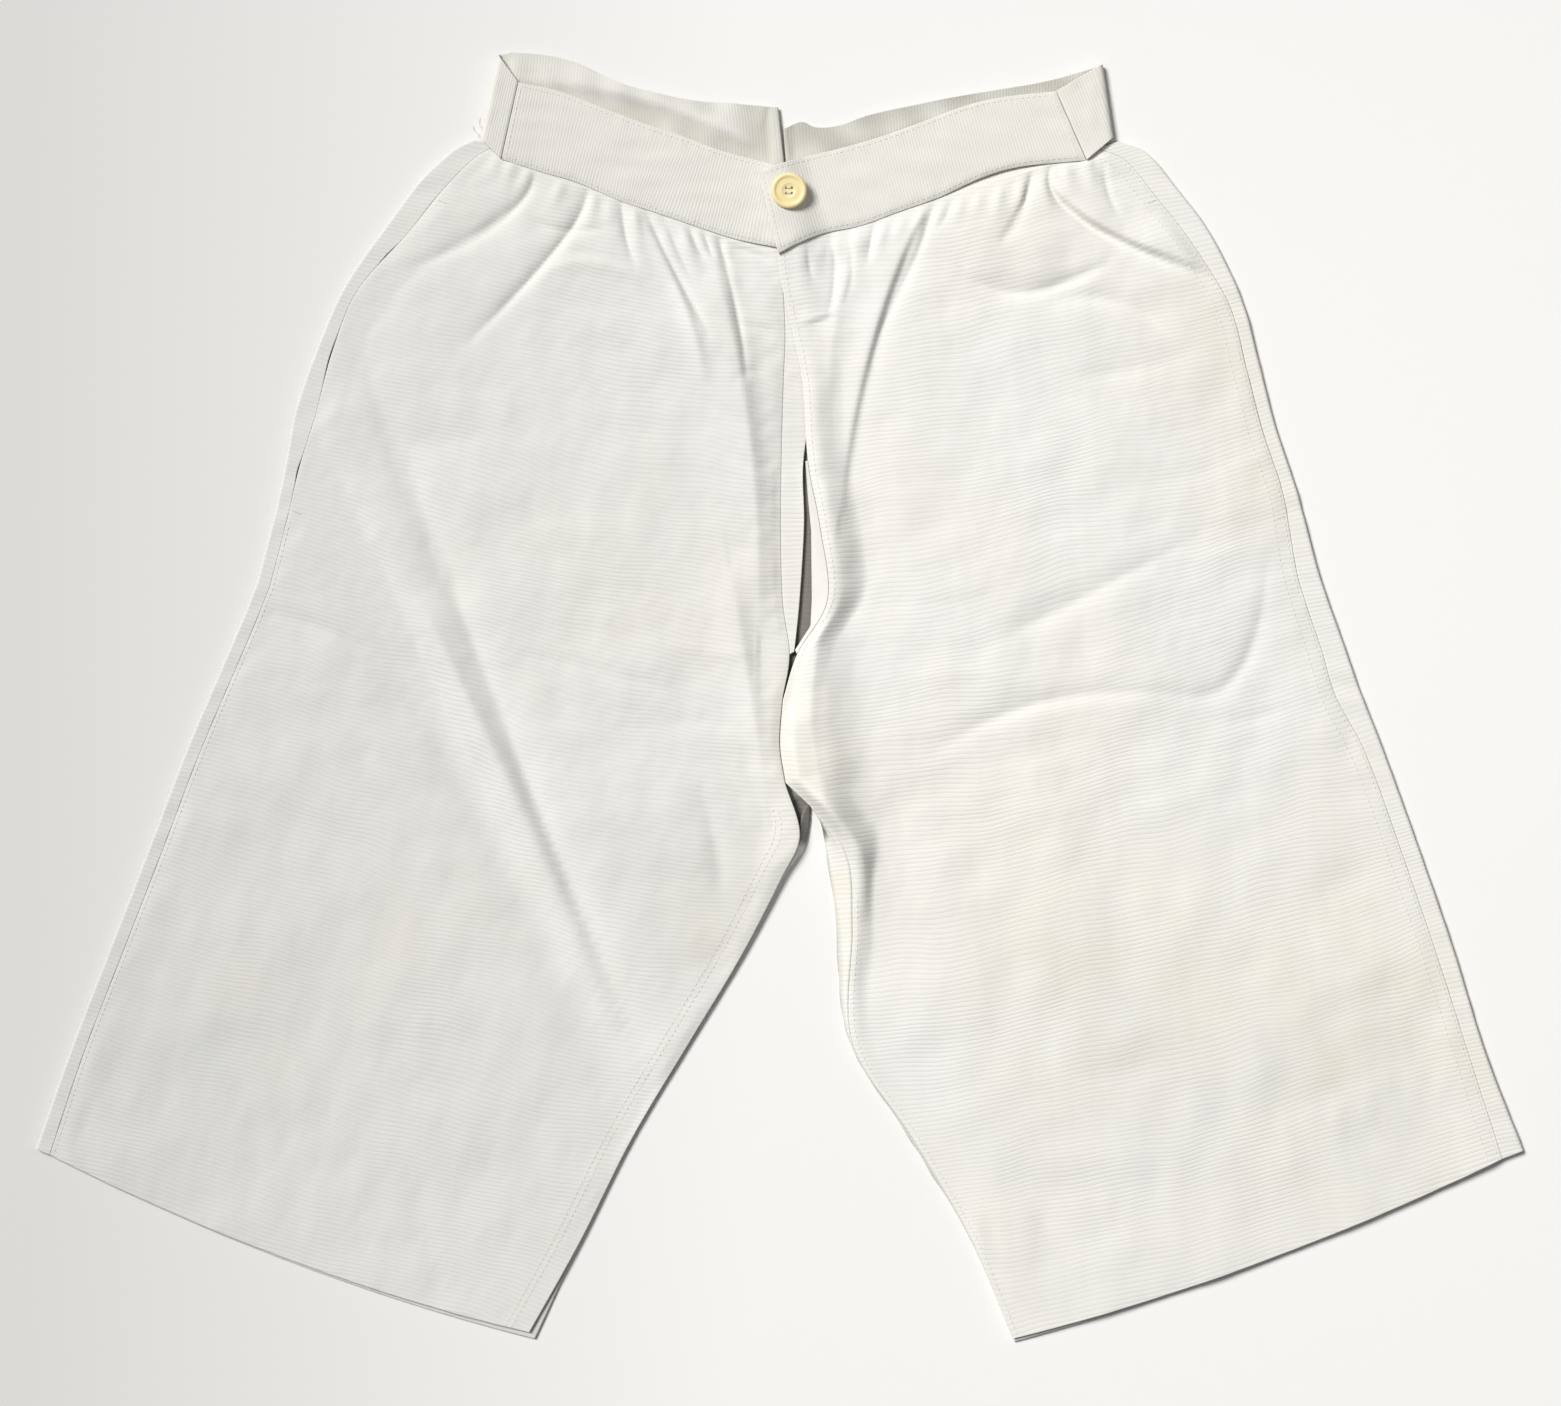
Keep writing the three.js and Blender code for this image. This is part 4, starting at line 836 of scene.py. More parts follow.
def turned_edge(lap, wall, level, turn_points, lap_points):
    """The middle of a wall that turns up at a fold and laps over the front: distances inward from
    the fold, heights, and which points are past the fold."""
    radius = level / 2
    centre = radius + wall / 2
    angle = np.linspace(0, math.pi, turn_points)
    inward = centre - radius * np.sin(angle)
    height = wall / 2 + radius * (1 - np.cos(angle))
    last_steps = EDGE_STEPS[::-1]
    flat_run = np.linspace(centre, lap - 1.4 * last_steps[0], lap_points)[1:]
    flat = np.concatenate([flat_run, lap - last_steps])
    return (
        np.concatenate([inward, flat]),
        np.concatenate([height, np.full(len(flat), wall / 2 + level)]),
        np.concatenate([angle > math.pi / 2, np.ones(len(flat), bool)]),
    )


def along(a, b, run):
    """Points at distances from a towards b."""
    heading = (b - a) / length_of(b - a)
    return a + heading * np.asarray(run)[..., None]


def resample(points, count):
    """The same line, drawn through points at even steps."""
    points = np.array(points)
    run = run_along(points)
    wanted = np.linspace(0, run[-1], count + 1)
    return np.stack([np.interp(wanted, run, points[:, k]) for k in range(3)], -1)


def offset_line(middle, heading, wall):
    """Both faces of a wall from its middle line, in the upright plane along a heading."""
    padded = np.concatenate([middle[:1], middle, middle[-1:]])
    step = padded[2:] - padded[:-2]
    run = step[:, :2] @ heading
    climb = step[:, 2]
    out = np.stack([-climb * heading[0], -climb * heading[1], run], -1) / np.hypot(run, climb)[:, None]
    return middle + out * wall / 2, middle - out * wall / 2


BACK_FLAT_COLUMNS = 36
TURN_POINTS = 11
LAP_POINTS = 9
LIP_POINTS = 10


def back_panel(name, leg):
    """A back panel: flat on the table, raised at its inner edge and turned over at the side."""
    rows = leg_rows(BACK_ROWS)
    lip_level = leg.level(np.ones((1, 1)), rows[:, None])[2][:, 0]
    below, above, weave = [], [], []
    for v, lip_z in zip(rows, lip_level):
        section = leg.section(v)
        fold, seam, back, front = (section[k] for k in ("fold", "seam", "back", "front"))
        wall = leg.wall(v)
        width = length_of(back - fold)
        inwards = (back - fold) / width

        def on_table(inward):
            x, y = leg.bowed(section, fold, back, np.asarray(inward) / width)
            return np.stack([x, y, np.full(np.shape(x), wall / 2)], -1)

        lip_foot = width - LIP_RUN
        lip_height = max(wall / 2, lip_z - GAP - wall / 2)
        lip_top = mix(np.append(back, wall / 2), np.append(front, lip_height), section["rise"])
        lap = length_of(seam - fold) - section["slit"]
        inward, height, turned = turned_edge(lap, wall, SIDE_LEVEL, TURN_POINTS, LAP_POINTS)
        lip = resample([on_table(lip_foot), on_table(width), lip_top], LIP_POINTS)[::-1]
        flat = on_table(np.linspace(lip_foot, inward[0], BACK_FLAT_COLUMNS + 1)[1:-1])
        side = np.where(turned[:, None], along(fold, seam, inward), on_table(inward)[:, :2])
        ripple = 0.16 * undulation(side[:, 1], 0.4 * side[:, 0], 18, leg.seed + 6) * turned
        middle = np.concatenate([lip, flat, np.column_stack([side, height + ripple])])
        lower, upper = offset_line(middle, inwards, wall)
        below.append(lower)
        above.append(upper)
        weave.append(rib_lines(middle[:, 0], middle[:, 1]))
    below, above, weave = (np.array(part) for part in (below, above, weave))
    return cloth_mesh(name, below, above, weave)


BACK_BAND_POINTS = 130
BAND_FULLNESS = 0.7  # how far the back band stands off the table


def band_level(leg, x):
    """The front waistband lies on the gathered edge of the panel below it."""
    u = np.linspace(0, 1, 200)
    edge_x, _, edge_z = leg.level(u[None, :], np.zeros((1, 1)))
    edge_x, edge_z = edge_x[0], edge_z[0]
    order = np.argsort(edge_x)
    return np.interp(x, edge_x[order], edge_z[order]) + TUCK_DIP + WALL + BAND_CLEAR


def band_softness(x, y, w, seed):
    """Puckers along the stitched edges of a waistband and a slight fullness between them."""
    fullness = 0.25 * np.sin(math.pi * w).clip(0) ** 0.6
    near_stitches = np.exp(-((w / 0.14) ** 2)) + np.exp(-(((1 - w) / 0.14) ** 2))
    pucker = undulation(x, 0.3 * y, 11, seed) * near_stitches
    drag = undulation(0.35 * x, y, 13, seed + 1) + 0.6 * undulation(x, y, 34, seed + 2)
    return fullness + 0.12 * pucker + 0.13 * drag * np.sin(math.pi * w).clip(0)


def along_band(points):
    """Distance along a band of points (rows across it, columns along it), and across it."""
    run = run_along(points.mean(axis=0))
    climbed = np.cumsum(length_of(np.diff(points, axis=0)), axis=0)
    rise = np.concatenate([np.zeros((1, points.shape[1])), climbed])
    return np.stack([rise, np.broadcast_to(run, rise.shape)], -1)


def front_band(name, leg, stations, seed):
    """A front half of the waistband, and its upper face for the stitches."""
    across = spaced(24, BAND_DEPTH)
    run = spaced(120, BAND_LENGTH)
    station = read_row(stations, run * (len(stations) - 1))
    w = across[:, None]
    flat = mix(station["bottom"], station["top"], w[..., None])
    level = band_level(leg, mix(station["bottom"], station["top"], 0.1)[:, 0])
    softness = band_softness(flat[..., 0], flat[..., 1], w, seed)
    softness = softness * np.minimum(1, edge_distance(flat) / 1.5)
    drawn_down = TUCK_DIP * (1 - smoothstep(0, 0.08, w))
    lower = np.concatenate([flat, (level + softness.clip(0) - drawn_down)[..., None]], -1)
    upper = upright_wall(lower, BAND_WALL)
    return cloth_mesh(name, lower, upper, along_band(lower), BAND_TURN), Skin(across, run, upper)


def back_band(name, leg, band, seed):
    """A back half of the waistband: its inner face shows, and its end turns over as a tab."""
    across = spaced(22, BACK_BAND_DEPTH)
    centre = leg.section(0)["back"] + np.array([0, GAP])
    level = band_level(leg, band["tab"]["bottom"][0])
    last = len(band["top"]) - 1
    stations = spaced(110, BAND_LENGTH)[: -len(EDGE_STEPS)]
    below, above = [], []
    for w in across:
        fold = mix(np.array(band["fold"]["bottom"]), np.array(band["fold"]["top"]), w)
        tab = mix(np.array(band["tab"]["bottom"]), np.array(band["tab"]["top"]), w)
        lap = length_of(tab - fold) - CLOSED_SEAM
        inward, height, turned = turned_edge(lap, BAND_WALL, level, 13, 18)
        top = read_row(band["top"], stations * last)["at"]
        bottom = mix(centre, np.array(band["fold"]["bottom"]), stations[:, None])
        flat = mix(bottom, top, w)
        flat = flat[length_of(flat - fold) > inward[0] + 0.5]
        x, y = flat.T
        rolls = sum(fold_height(crease, x, y) for crease in BACK_BAND_FOLDS)
        soft = 0.3 * undulation(x, y, 26, seed)
        ease = smoothstep(2, 12, length_of(flat - fold))
        lift = (BAND_FULLNESS + rolls + soft).clip(0) * ease
        side = np.where(turned[:, None], along(fold, tab, inward), along(fold, flat[-1], inward))
        flat = np.column_stack([flat, BAND_WALL / 2 + lift])
        over = 0.2 * undulation(side[:, 0], side[:, 1], 17, seed + 1).clip(0) * turned
        middle = np.concatenate([flat, np.column_stack([side, height + over])])
        middle = resample(middle, BACK_BAND_POINTS)
        heading = (tab - fold) / length_of(tab - fold)
        lower, upper = offset_line(middle, heading, BAND_WALL)
        below.append(lower)
        above.append(upper)
    below, above = np.array(below), np.array(above)
    return cloth_mesh(name, below, above, along_band(below), BAND_TURN)


STAND_TOP_ROW = 0.25  # the stand's upper end, under the band


def fly_stand(name):
    """The strip on the right side of the opening, at the level of the right front's inner edge."""
    last = len(FLY_STAND_EDGE) - 1
    v = STAND_TOP_ROW + (last - STAND_TOP_ROW) * spaced(90, STAND_LENGTH)[:, None]
    u = spaced(12, STAND_WIDTH)[None, :]
    x, y, z = right_leg.level(np.ones_like(v), v)
    edge = read_row(FLY_STAND_EDGE, v[:, 0])["at"]
    start = np.stack([x[:, 0] + CLOSED_SEAM, y[:, 0]], -1)
    plan = mix(start[:, None, :], edge[:, None, :], u[..., None])
    pucker = 0.12 * undulation(plan[..., 1], 0.3 * plan[..., 0], 13, 51).clip(0)
    lower = np.concatenate([plan, (z + pucker * smoothstep(0, 0.3, u))[..., None]], -1)
    upper = upright_wall(lower, WALL)
    return cloth_mesh(name, lower, upper, rib_lines(plan[..., 0], plan[..., 1]))


def fly_facing(name):
    """The strip inside the open lip, sloping up from the stand's level to the lip."""
    last = len(FLY_FACING) - 1
    t = last * spaced(70, FACING_LENGTH)
    u = spaced(12, FACING_WIDTH)[None, :, None]
    columns = ([strip["row"], *strip["edge"]] for strip in FLY_FACING)
    row, *edge = (np.interp(t, np.arange(last + 1), column) for column in zip(*columns))
    row = row[:, None]
    edge = np.stack(edge, -1)
    ones = np.ones_like(row)
    lip = np.stack(left_leg.level(ones, row), -1)[:, 0]
    low = right_leg.level(ones, row)[2][:, 0] + WALL + GAP
    width = length_of(lip[:, :2] - edge)
    reach = u * (1 - FACING_CLEAR / width)[:, None, None]
    plan = mix(edge[:, None, :], lip[:, None, :2], reach)
    height = mix(low[:, None], lip[:, None, 2], u[..., 0] ** 1.3)
    lower = np.concatenate([plan, height[..., None]], -1)
    return cloth_mesh(name, lower, upright_wall(lower, WALL), rib_lines(plan[..., 0], plan[..., 1]))


def pocket_bag(name, bag):
    """Both layers of a pocket bag, flat on the back panel."""
    last = len(bag) - 1
    row = read_row(bag, last * spaced(50, BAG_LENGTH))
    u = spaced(24, BAG_WIDTH)[None, :, None]
    plan = mix(row["outer"][:, None, :], row["inner"][:, None, :], u)
    lower = np.concatenate([plan, np.full(plan.shape[:2] + (1,), WALL + GAP)], -1)
    return cloth_mesh(name, lower, upright_wall(lower, BAG_WALL), plan)


# ---------------------------------------------------------------- stitches and threads

THREAD_RADIUS = 0.17
STITCH_LENGTH = 2.3
STITCH_GAP = 0.9
TACK_TURNS = 15
LOOSE_RADIUS = 0.14
BUTTON_THREAD_RADIUS = 0.22


def tube(points, radius, sides=5):
    """Points and faces of a closed thread along a route."""
    points = np.asarray(points, float)
    padded = np.concatenate([points[:1], points, points[-1:]])
    heading = padded[2:] - padded[:-2]
    heading /= np.maximum(length_of(heading), 1e-9)[:, None]
    aside = np.cross(heading, np.array([0.0, 0.0, 1.0]))
    aside /= np.maximum(length_of(aside), 1e-9)[:, None]
    over = np.cross(aside, heading)
    angle = np.linspace(0, math.tau, sides, endpoint=False)
    ring = np.cos(angle)[None, :, None] * aside[:, None] + np.sin(angle)[None, :, None] * over[:, None]
    radii = np.full(len(points), radius)
    radii[[0, -1]] *= 0.5
    body = points[:, None] + ring * radii[:, None, None]
    count = len(points)
    faces = []
    for i in range(count - 1):
        for k in range(sides):
            n = (k + 1) % sides
            faces.append((i * sides + k, i * sides + n, (i + 1) * sides + n, (i + 1) * sides + k))
    caps = [tuple(range(sides))[::-1], tuple(range((count - 1) * sides, count * sides))]
    return body.reshape(-1, 3), faces + caps


def joined(name, tubes):
    """One mesh object of many closed threads."""
    points, faces, start = [], [], 0
    for tube_points, tube_faces in tubes:
        points.append(tube_points)
        faces.extend(tuple(start + i for i in face) for face in tube_faces)
        start += len(tube_points)
    return make_object(name, np.concatenate(points) * MM, faces)


def stitches(route):
    """Running stitches along a route that lies on the cloth."""
    run = run_along(route)
    tubes = []
    for start in np.arange(0.8, run[-1] - STITCH_LENGTH, STITCH_LENGTH + STITCH_GAP):
        share = np.linspace(0, 1, 4)
        at = start + share * STITCH_LENGTH
        points = np.stack([np.interp(at, run, route[:, k]) for k in range(3)], -1)
        points[:, 2] += THREAD_RADIUS * (np.sin(math.pi * share) * 1.3 - 0.5)
        tubes.append(tube(points, THREAD_RADIUS))
    return tubes


def leg_seam(leg, skin, from_side=None, from_inner=None, rows=(0, 17)):
    """Stitches down a front panel, at a distance from its side seam or from its inner edge."""
    v = np.linspace(*rows, 400)
    section = leg.section(v)
    width = length_of(section["front"] - section["seam"])
    u = from_side / width if from_inner is None else 1 - from_inner / width
    return stitches(skin.at(u, v))


BAND_ENDS = (0.012, 0.988)  # the stitches across a waistband's ends, as shares of its length
BAND_EDGES = (0.05, 0.95)  # the stitches along its edges, as shares of its depth


def band_seams(skin):
    """Stitches along the lower and upper edge of a waistband and across both of its ends."""
    run = np.linspace(*BAND_ENDS, 200)
    rise = np.linspace(*BAND_EDGES, 30)
    lines = [skin.at(run, np.full_like(run, w)) for w in BAND_EDGES]
    lines += [skin.at(np.full_like(rise, u), rise) for u in BAND_ENDS]
    return [stitch for line in lines for stitch in stitches(line)]


def bar_tack(skin, leg, row):
    """Close zigzag stitches that hold the end of the pocket's mouth."""
    section = leg.section(row)
    width = length_of(section["front"] - section["seam"])
    share = np.linspace(0, 1, TACK_TURNS)
    across = 1.2 + 5.5 * share
    sway = np.where(np.arange(TACK_TURNS) % 2, 0.008, -0.008)
    points = skin.at(across / width, row + sway)
    points[:, 2] += THREAD_RADIUS * 0.6
    return [tube(points, THREAD_RADIUS)]


def loose_thread(*points):
    """A thread end that curls through the given points."""
    return tube(read_row(line(*points), np.linspace(0, len(points) - 1, 26))["at"], LOOSE_RADIUS)


def button_threads(top):
    """Two threads over the middle of the button, between its sewing holes."""
    tubes = []
    for side in (-1, 1):
        y = BUTTON_AT[1] + side * HOLE_OFFSET
        for shift in (-BUTTON_THREAD_RADIUS, BUTTON_THREAD_RADIUS):
            share = np.linspace(-1, 1, 7)
            x = BUTTON_AT[0] + share * HOLE_OFFSET
            z = top + 0.34 * (1 - share**4)
            tubes.append(tube(np.stack([x, np.full(7, y + shift), z], -1), BUTTON_THREAD_RADIUS))
    return tubes


# ---------------------------------------------------------------- shader arithmetic


class Socket:
    """A value in a material. Arithmetic on it adds Math nodes."""

    def __init__(self, finish, link):
        self.finish = finish
        self.link = link

    def math(self, operation, *values):
        inputs = dict(enumerate(values))
        return self.finish.node("ShaderNodeMath", {"operation": operation}, inputs)

    def __add__(self, other):
        return self.math("ADD", self, other)

    def __sub__(self, other):
        return self.math("SUBTRACT", self, other)

    def __rsub__(self, other):
        return self.math("SUBTRACT", other, self)

    def __mul__(self, other):
        return self.math("MULTIPLY", self, other)

    def __pow__(self, other):
        return self.math("POWER", self, other)

    def __abs__(self):
        return self.math("ABSOLUTE", self)

    def sine(self):
        return self.math("SINE", self)

    def between(self, low, high):
        """0 below low, 1 above high and a straight ramp from one to the other."""
        inputs = {"Value": self, "From Min": low, "From Max": high}
        return self.finish.node("ShaderNodeMapRange", {"clamp": True}, inputs)

    __radd__ = __add__
    __rmul__ = __mul__


class Finish:
    """A material: nodes feed the sockets of one Principled shader."""

    def __init__(self, name, **constants):
        self.material = bpy.data.materials.new(name)
        self.material.use_nodes = True
        self.tree = self.material.node_tree
        self.shader = next(n for n in self.tree.nodes if n.type == "BSDF_PRINCIPLED")
        for socket, value in constants.items():
            self.shader.inputs[socket.replace("_", " ")].default_value = value

    def node(self, kind, settings=None, inputs=None, output=0):
        """Adds a node of a kind, with its settings and the values or links of its sockets."""
        made = self.tree.nodes.new(kind)
        for name, value in (settings or {}).items():
            setattr(made, name, value)
        for name, value in (inputs or {}).items():
            self.feed(made.inputs[name], value)
        return Socket(self, made.outputs[output])

    def shade(self, name, value):
        self.feed(self.shader.inputs[name], value)

    def feed(self, socket, value):
        if isinstance(value, Socket):
            self.tree.links.new(value.link, socket)
        else:
            socket.default_value = value

    def noise(self, place, scale, detail=2.0, roughness=0.5):
        inputs = {"Vector": place, "Scale": scale, "Detail": detail, "Roughness": roughness}
        return self.node("ShaderNodeTexNoise", {"noise_dimensions": "3D"}, inputs)

    def place(self):
        """Where a point lies, in the garment's own metres."""
        return self.node("ShaderNodeTexCoord", None, None, "Object")

    def axes(self, vector):
        """The x, y and z of a vector."""
        x = self.node("ShaderNodeSeparateXYZ", None, {0: vector})
        return [Socket(self, output) for output in x.link.node.outputs]

    def stretched(self, place, scale):
        return self.node("ShaderNodeVectorMath", {"operation": "MULTIPLY"}, {0: place, 1: scale})

    def blend(self, mask, start, end):
        """One colour turning into another as mask goes from 0 to 1."""
        settings = {"data_type": "RGBA", "blend_type": "MIX"}
        return self.node("ShaderNodeMix", settings, {0: mask, 6: start, 7: end}, 2)

    def bump(self, height, distance, below=None):
        inputs = {"Height": height, "Distance": distance, "Strength": 1.0}
        if below is not None:
            inputs["Normal"] = below
        return self.node("ShaderNodeBump", None, inputs)

    def near(self, place, centre, radius):
        """1 at a centre and 0 from the radius on."""
        away = self.node("ShaderNodeVectorMath", {"operation": "DISTANCE"}, {0: place, 1: centre}, 1)
        return 1 - away.between(0.15 * radius, radius)


# Where the cloth has yellowed or greyed: centre and radius in millimetres, and how much.
YELLOWED = table(
    "centre radius amount",
    ((252, 196), 62, 0.55),
    ((268, 120), 50, 0.45),
    ((-212, -130), 90, 0.5),
    ((-250, -230), 80, 0.3),
    ((150, -110), 110, 0.3),
    ((330, -180), 110, 0.8),
    ((190, -170), 110, 0.5),
    ((-20, 60), 60, 0.25),
    ((-200, 250), 60, 0.3),
    ((120, 262), 60, 0.25),
    ((-34, -113), 55, 1),
    ((10, 0), 30, 0.8),
    ((16, -38), 26, 1),
    ((31, -104), 15, 1),
    ((34, -128), 14, 1),
    ((37, -155), 12, 1),
    ((-325, -170), 100, 1),
    ((325, -230), 90, 0.5),
    ((180, -170), 70, 0.4),
)
GREYED = table(
    "centre radius amount",
    ((-300, -110), 130, 0.75),
    ((-270, -10), 110, 0.5),
    ((-340, -200), 110, 0.9),
    ((315, -225), 90, 0.6),
    ((180, -170), 70, 0.35),
    ((-180, -250), 110, 0.45),
    ((-60, -80), 80, 0.4),
    ((-20, 150), 70, 0.35),
    ((240, 10), 120, 0.25),
    ((210, -260), 120, 0.3),
    ((-185, 206), 90, 0.6),
    ((-40, -110), 60, 0.95),
)
CLOTH_WHITE = (0.805, 0.798, 0.772, 1)
BAND_WHITE = (0.79, 0.775, 0.735, 1)
CLOTH_YELLOW = (0.77, 0.735, 0.62, 1)
CLOTH_GREY = (0.665, 0.675, 0.665, 1)
CLOTH_EDGE_SHADE = (0.5, 0.49, 0.45, 1)  # painted shade along the edges that lie low, by the table
CLOTH_FALLOFF_SHADE = (0.58, 0.58, 0.57, 1)  # painted shade for light falling off towards the outer side of the right leg
CLOTH_GROOVE_SHADE = (0.42, 0.41, 0.38, 1)  # painted shade between the ribs
OUTER_SIDE = -0.42  # the outer side of the right leg, where the painted falloff of light is darkest

# Where the inside of the garment shows in shade, painted darker: centre and radius in millimetres, and
# the height up to which the cloth is inside.
INSIDE = table(
    "centre radius top",
    ((12, 68), 85, 1.8),
    ((16, -68), 17, 5.5),
)
CLOTH_INSIDE_SHADE = (0.2, 0.185, 0.17, 1)
# Painted shade on the back waistband where it lies low, under the front band
BAND_PAINTED_SHADE_RIGHT = (0.6, 0.59, 0.53, 1)
BAND_PAINTED_SHADE_LEFT = (0.53, 0.52, 0.465, 1)
PLAIN_WHITE = (0.76, 0.75, 0.72, 1)
PLAIN_CREAM = (0.70, 0.69, 0.64, 1)
THREAD_WHITE = (0.79, 0.77, 0.71, 1)
THREAD_CREAM = (0.66, 0.64, 0.57, 1)
BUTTON_CREAM = (0.88, 0.76, 0.42, 1)
BUTTON_YELLOW = (0.82, 0.67, 0.34, 1)
BUTTON_SPECK = (0.62, 0.47, 0.2, 1)
# painted shade of the button's sewing holes
BUTTON_HOLE_SHADE = (0.12, 0.09, 0.05, 1)
TABLE_WHITE = (0.86, 0.853, 0.84, 1)
TABLE_GRAIN = (0.83, 0.823, 0.805, 1)
TABLE_FALLOFF_SHADE = (0.67, 0.665, 0.65, 1)


def ribbed_finish(name, pitch, white, inside=None):
    """Cotton woven with fine raised ribs, softened and faintly stained by washing. inside is the painted
    shade that it turns towards where it lies low, under another piece."""
    finish = Finish(name, Roughness=0.9, Sheen_Weight=0.12, Sheen_Roughness=0.5)
    place = finish.place()
    weave = finish.node("ShaderNodeUVMap", {"uv_map": "weave"})
    run, across, _ = finish.axes(weave)
    wobble = finish.noise(finish.stretched(weave, (40.0, 200.0, 0.0)), 1.0, 2.0)
    turn = across * (math.pi / (pitch * MM)) + wobble * 1.6
    cord = abs(turn.sine()) ** 0.7
    yarn = finish.noise(finish.stretched(weave, (260.0, 1900.0, 0.0)), 1.0, 2.0, 0.6)
    warp = (run * (math.tau / (YARN_PITCH * MM))).sine() * 0.5 + 0.5
    worn = finish.noise(place, 14.0, 3.0).between(0.25, 0.7)
    height = cord * (worn * 0.6 + 0.4) + yarn * 0.35 + warp * 0.12
    mottle = finish.noise(place, 9.0, 4.0, 0.6)
    colour = finish.blend(mottle.between(0.35, 0.75) * 0.3, white, CLOTH_YELLOW)
    for stains, tone in ((YELLOWED, CLOTH_YELLOW), (GREYED, CLOTH_GREY)):
        edge = finish.noise(place, 16.0 if tone is CLOTH_GREY else 24.0, 3.0, 0.6).between(0.25, 0.7)
        for stain in stains:
            centre = (stain["centre"][0] * MM, stain["centre"][1] * MM, 0.0)
            mask = finish.near(place, centre, stain["radius"] * MM) * stain["amount"] * edge
            colour = finish.blend(mask, colour, tone)
    side, _, level = finish.axes(place)
    # Painted shade: the cloth darker towards the outer side of the right leg, for light that falls off there
    colour = finish.blend((1 - side.between(OUTER_SIDE, 0.05)) * 0.75, colour, CLOTH_FALLOFF_SHADE)
    # Painted shade along the cloth's low edges, where it meets the table
    low_edge_shade = 1 - level.between(1.2 * MM, 2.4 * MM)
    colour = finish.blend(low_edge_shade * 0.6, colour, CLOTH_EDGE_SHADE)
    # Painted shade where the piece lies low, under another piece
    if inside:
        colour = finish.blend(1 - level.between(1.9 * MM, 3.6 * MM), colour, inside)
    # Painted shade where the inside of the garment shows
    for spot in INSIDE:
        centre = (spot["centre"][0] * MM, spot["centre"][1] * MM, 0.0)
        low = 1 - level.between((spot["top"] - 0.5) * MM, (spot["top"] + 0.5) * MM)
        above_table = level.between(0.5 * MM, 0.8 * MM)
        shade = finish.near(place, centre, spot["radius"] * MM).between(0.0, 0.3)
        colour = finish.blend(shade * low * above_table, colour, CLOTH_INSIDE_SHADE)
    # Painted shade in the hollows between the ribs and between the yarns
    groove_shade = (1 - cord) * 0.07 + (1 - yarn) * 0.07
    colour = finish.blend(groove_shade, colour, CLOTH_GROOVE_SHADE)
    finish.shade("Base Color", colour)
    fuzz = finish.noise(place, 700.0, 2.0)
    normal = finish.bump(fuzz, FUZZ_RELIEF * MM, finish.bump(height, RIB_RELIEF * MM))
    finish.shade("Normal", normal)
    return finish.material


def plain_finish(name):
    """Plain woven cotton, as inside the fly and the pocket bags."""
    finish = Finish(name, Roughness=0.92, Sheen_Weight=0.1)
    place = finish.place()
    x, y, _ = finish.axes(place)
    turns = math.tau / (PLAIN_PITCH * MM)
    threads = (x * turns).sine() * (y * turns).sine()
    mottle = finish.noise(place, 40.0, 3.0)
    colour = finish.blend(mottle.between(0.3, 0.8) * 0.5, PLAIN_WHITE, PLAIN_CREAM)
    finish.shade("Base Color", colour)
    finish.shade("Normal", finish.bump(threads * 0.5 + mottle, 0.0001))
    return finish.material


def thread_finish(name):
    """Sewing thread, twisted from lighter and darker strands."""
    finish = Finish(name, Roughness=0.75, Sheen_Weight=0.2)
    place = finish.place()
    twist = finish.noise(place, 1500.0, 1.0)
    colour = finish.blend(twist.between(0.3, 0.7), THREAD_WHITE, THREAD_CREAM)
    finish.shade("Base Color", colour)
    finish.shade("Normal", finish.bump(twist, 0.00005))
    return finish.material


def button_finish(name):
    """Cream-yellow pressed button with faint mottling and a satin shine."""
    finish = Finish(name, IOR=1.5)
    place = finish.place()
    cloud = finish.noise(place, 180.0, 3.0)
    speck = finish.noise(place, 1400.0, 2.0)
    colour = finish.blend(cloud.between(0.3, 0.75), BUTTON_CREAM, BUTTON_YELLOW)
    colour = finish.blend(speck.between(0.62, 0.8) * 0.3, colour, BUTTON_SPECK)
    # Painted shade in the four sewing holes, which the button's mesh doesn't cut
    flat = finish.stretched(place, (1.0, 1.0, 0.0))
    for side_x in (-1, 1):
        for side_y in (-1, 1):
            x, y = BUTTON_AT[0] + side_x * HOLE_OFFSET, BUTTON_AT[1] + side_y * HOLE_OFFSET
            hole_shade = finish.near(flat, (x * MM, y * MM, 0.0), HOLE_RADIUS * MM * 1.3)
            colour = finish.blend(hole_shade.between(0.1, 0.4), colour, BUTTON_HOLE_SHADE)
    finish.shade("Base Color", colour)
    finish.shade("Roughness", speck * 0.15 + 0.36)
    finish.shade("Normal", finish.bump(speck, 0.00002))
    return finish.material


def table_finish(name):
    """The pale board that the garment lies on."""
    finish = Finish(name, Roughness=0.85)
    place = finish.place()
    grain = finish.noise(place, 60.0, 3.0)
    side, _, _ = finish.axes(place)
    colour = finish.blend(grain * 0.25, TABLE_WHITE, TABLE_GRAIN)
    # Painted shade: the board darker towards the outer side of the right leg, for light that falls off there
    colour = finish.blend(1 - side.between(OUTER_SIDE, -0.02), colour, TABLE_FALLOFF_SHADE)
    finish.shade("Base Color", colour)
    return finish.material


# ---------------------------------------------------------------- button

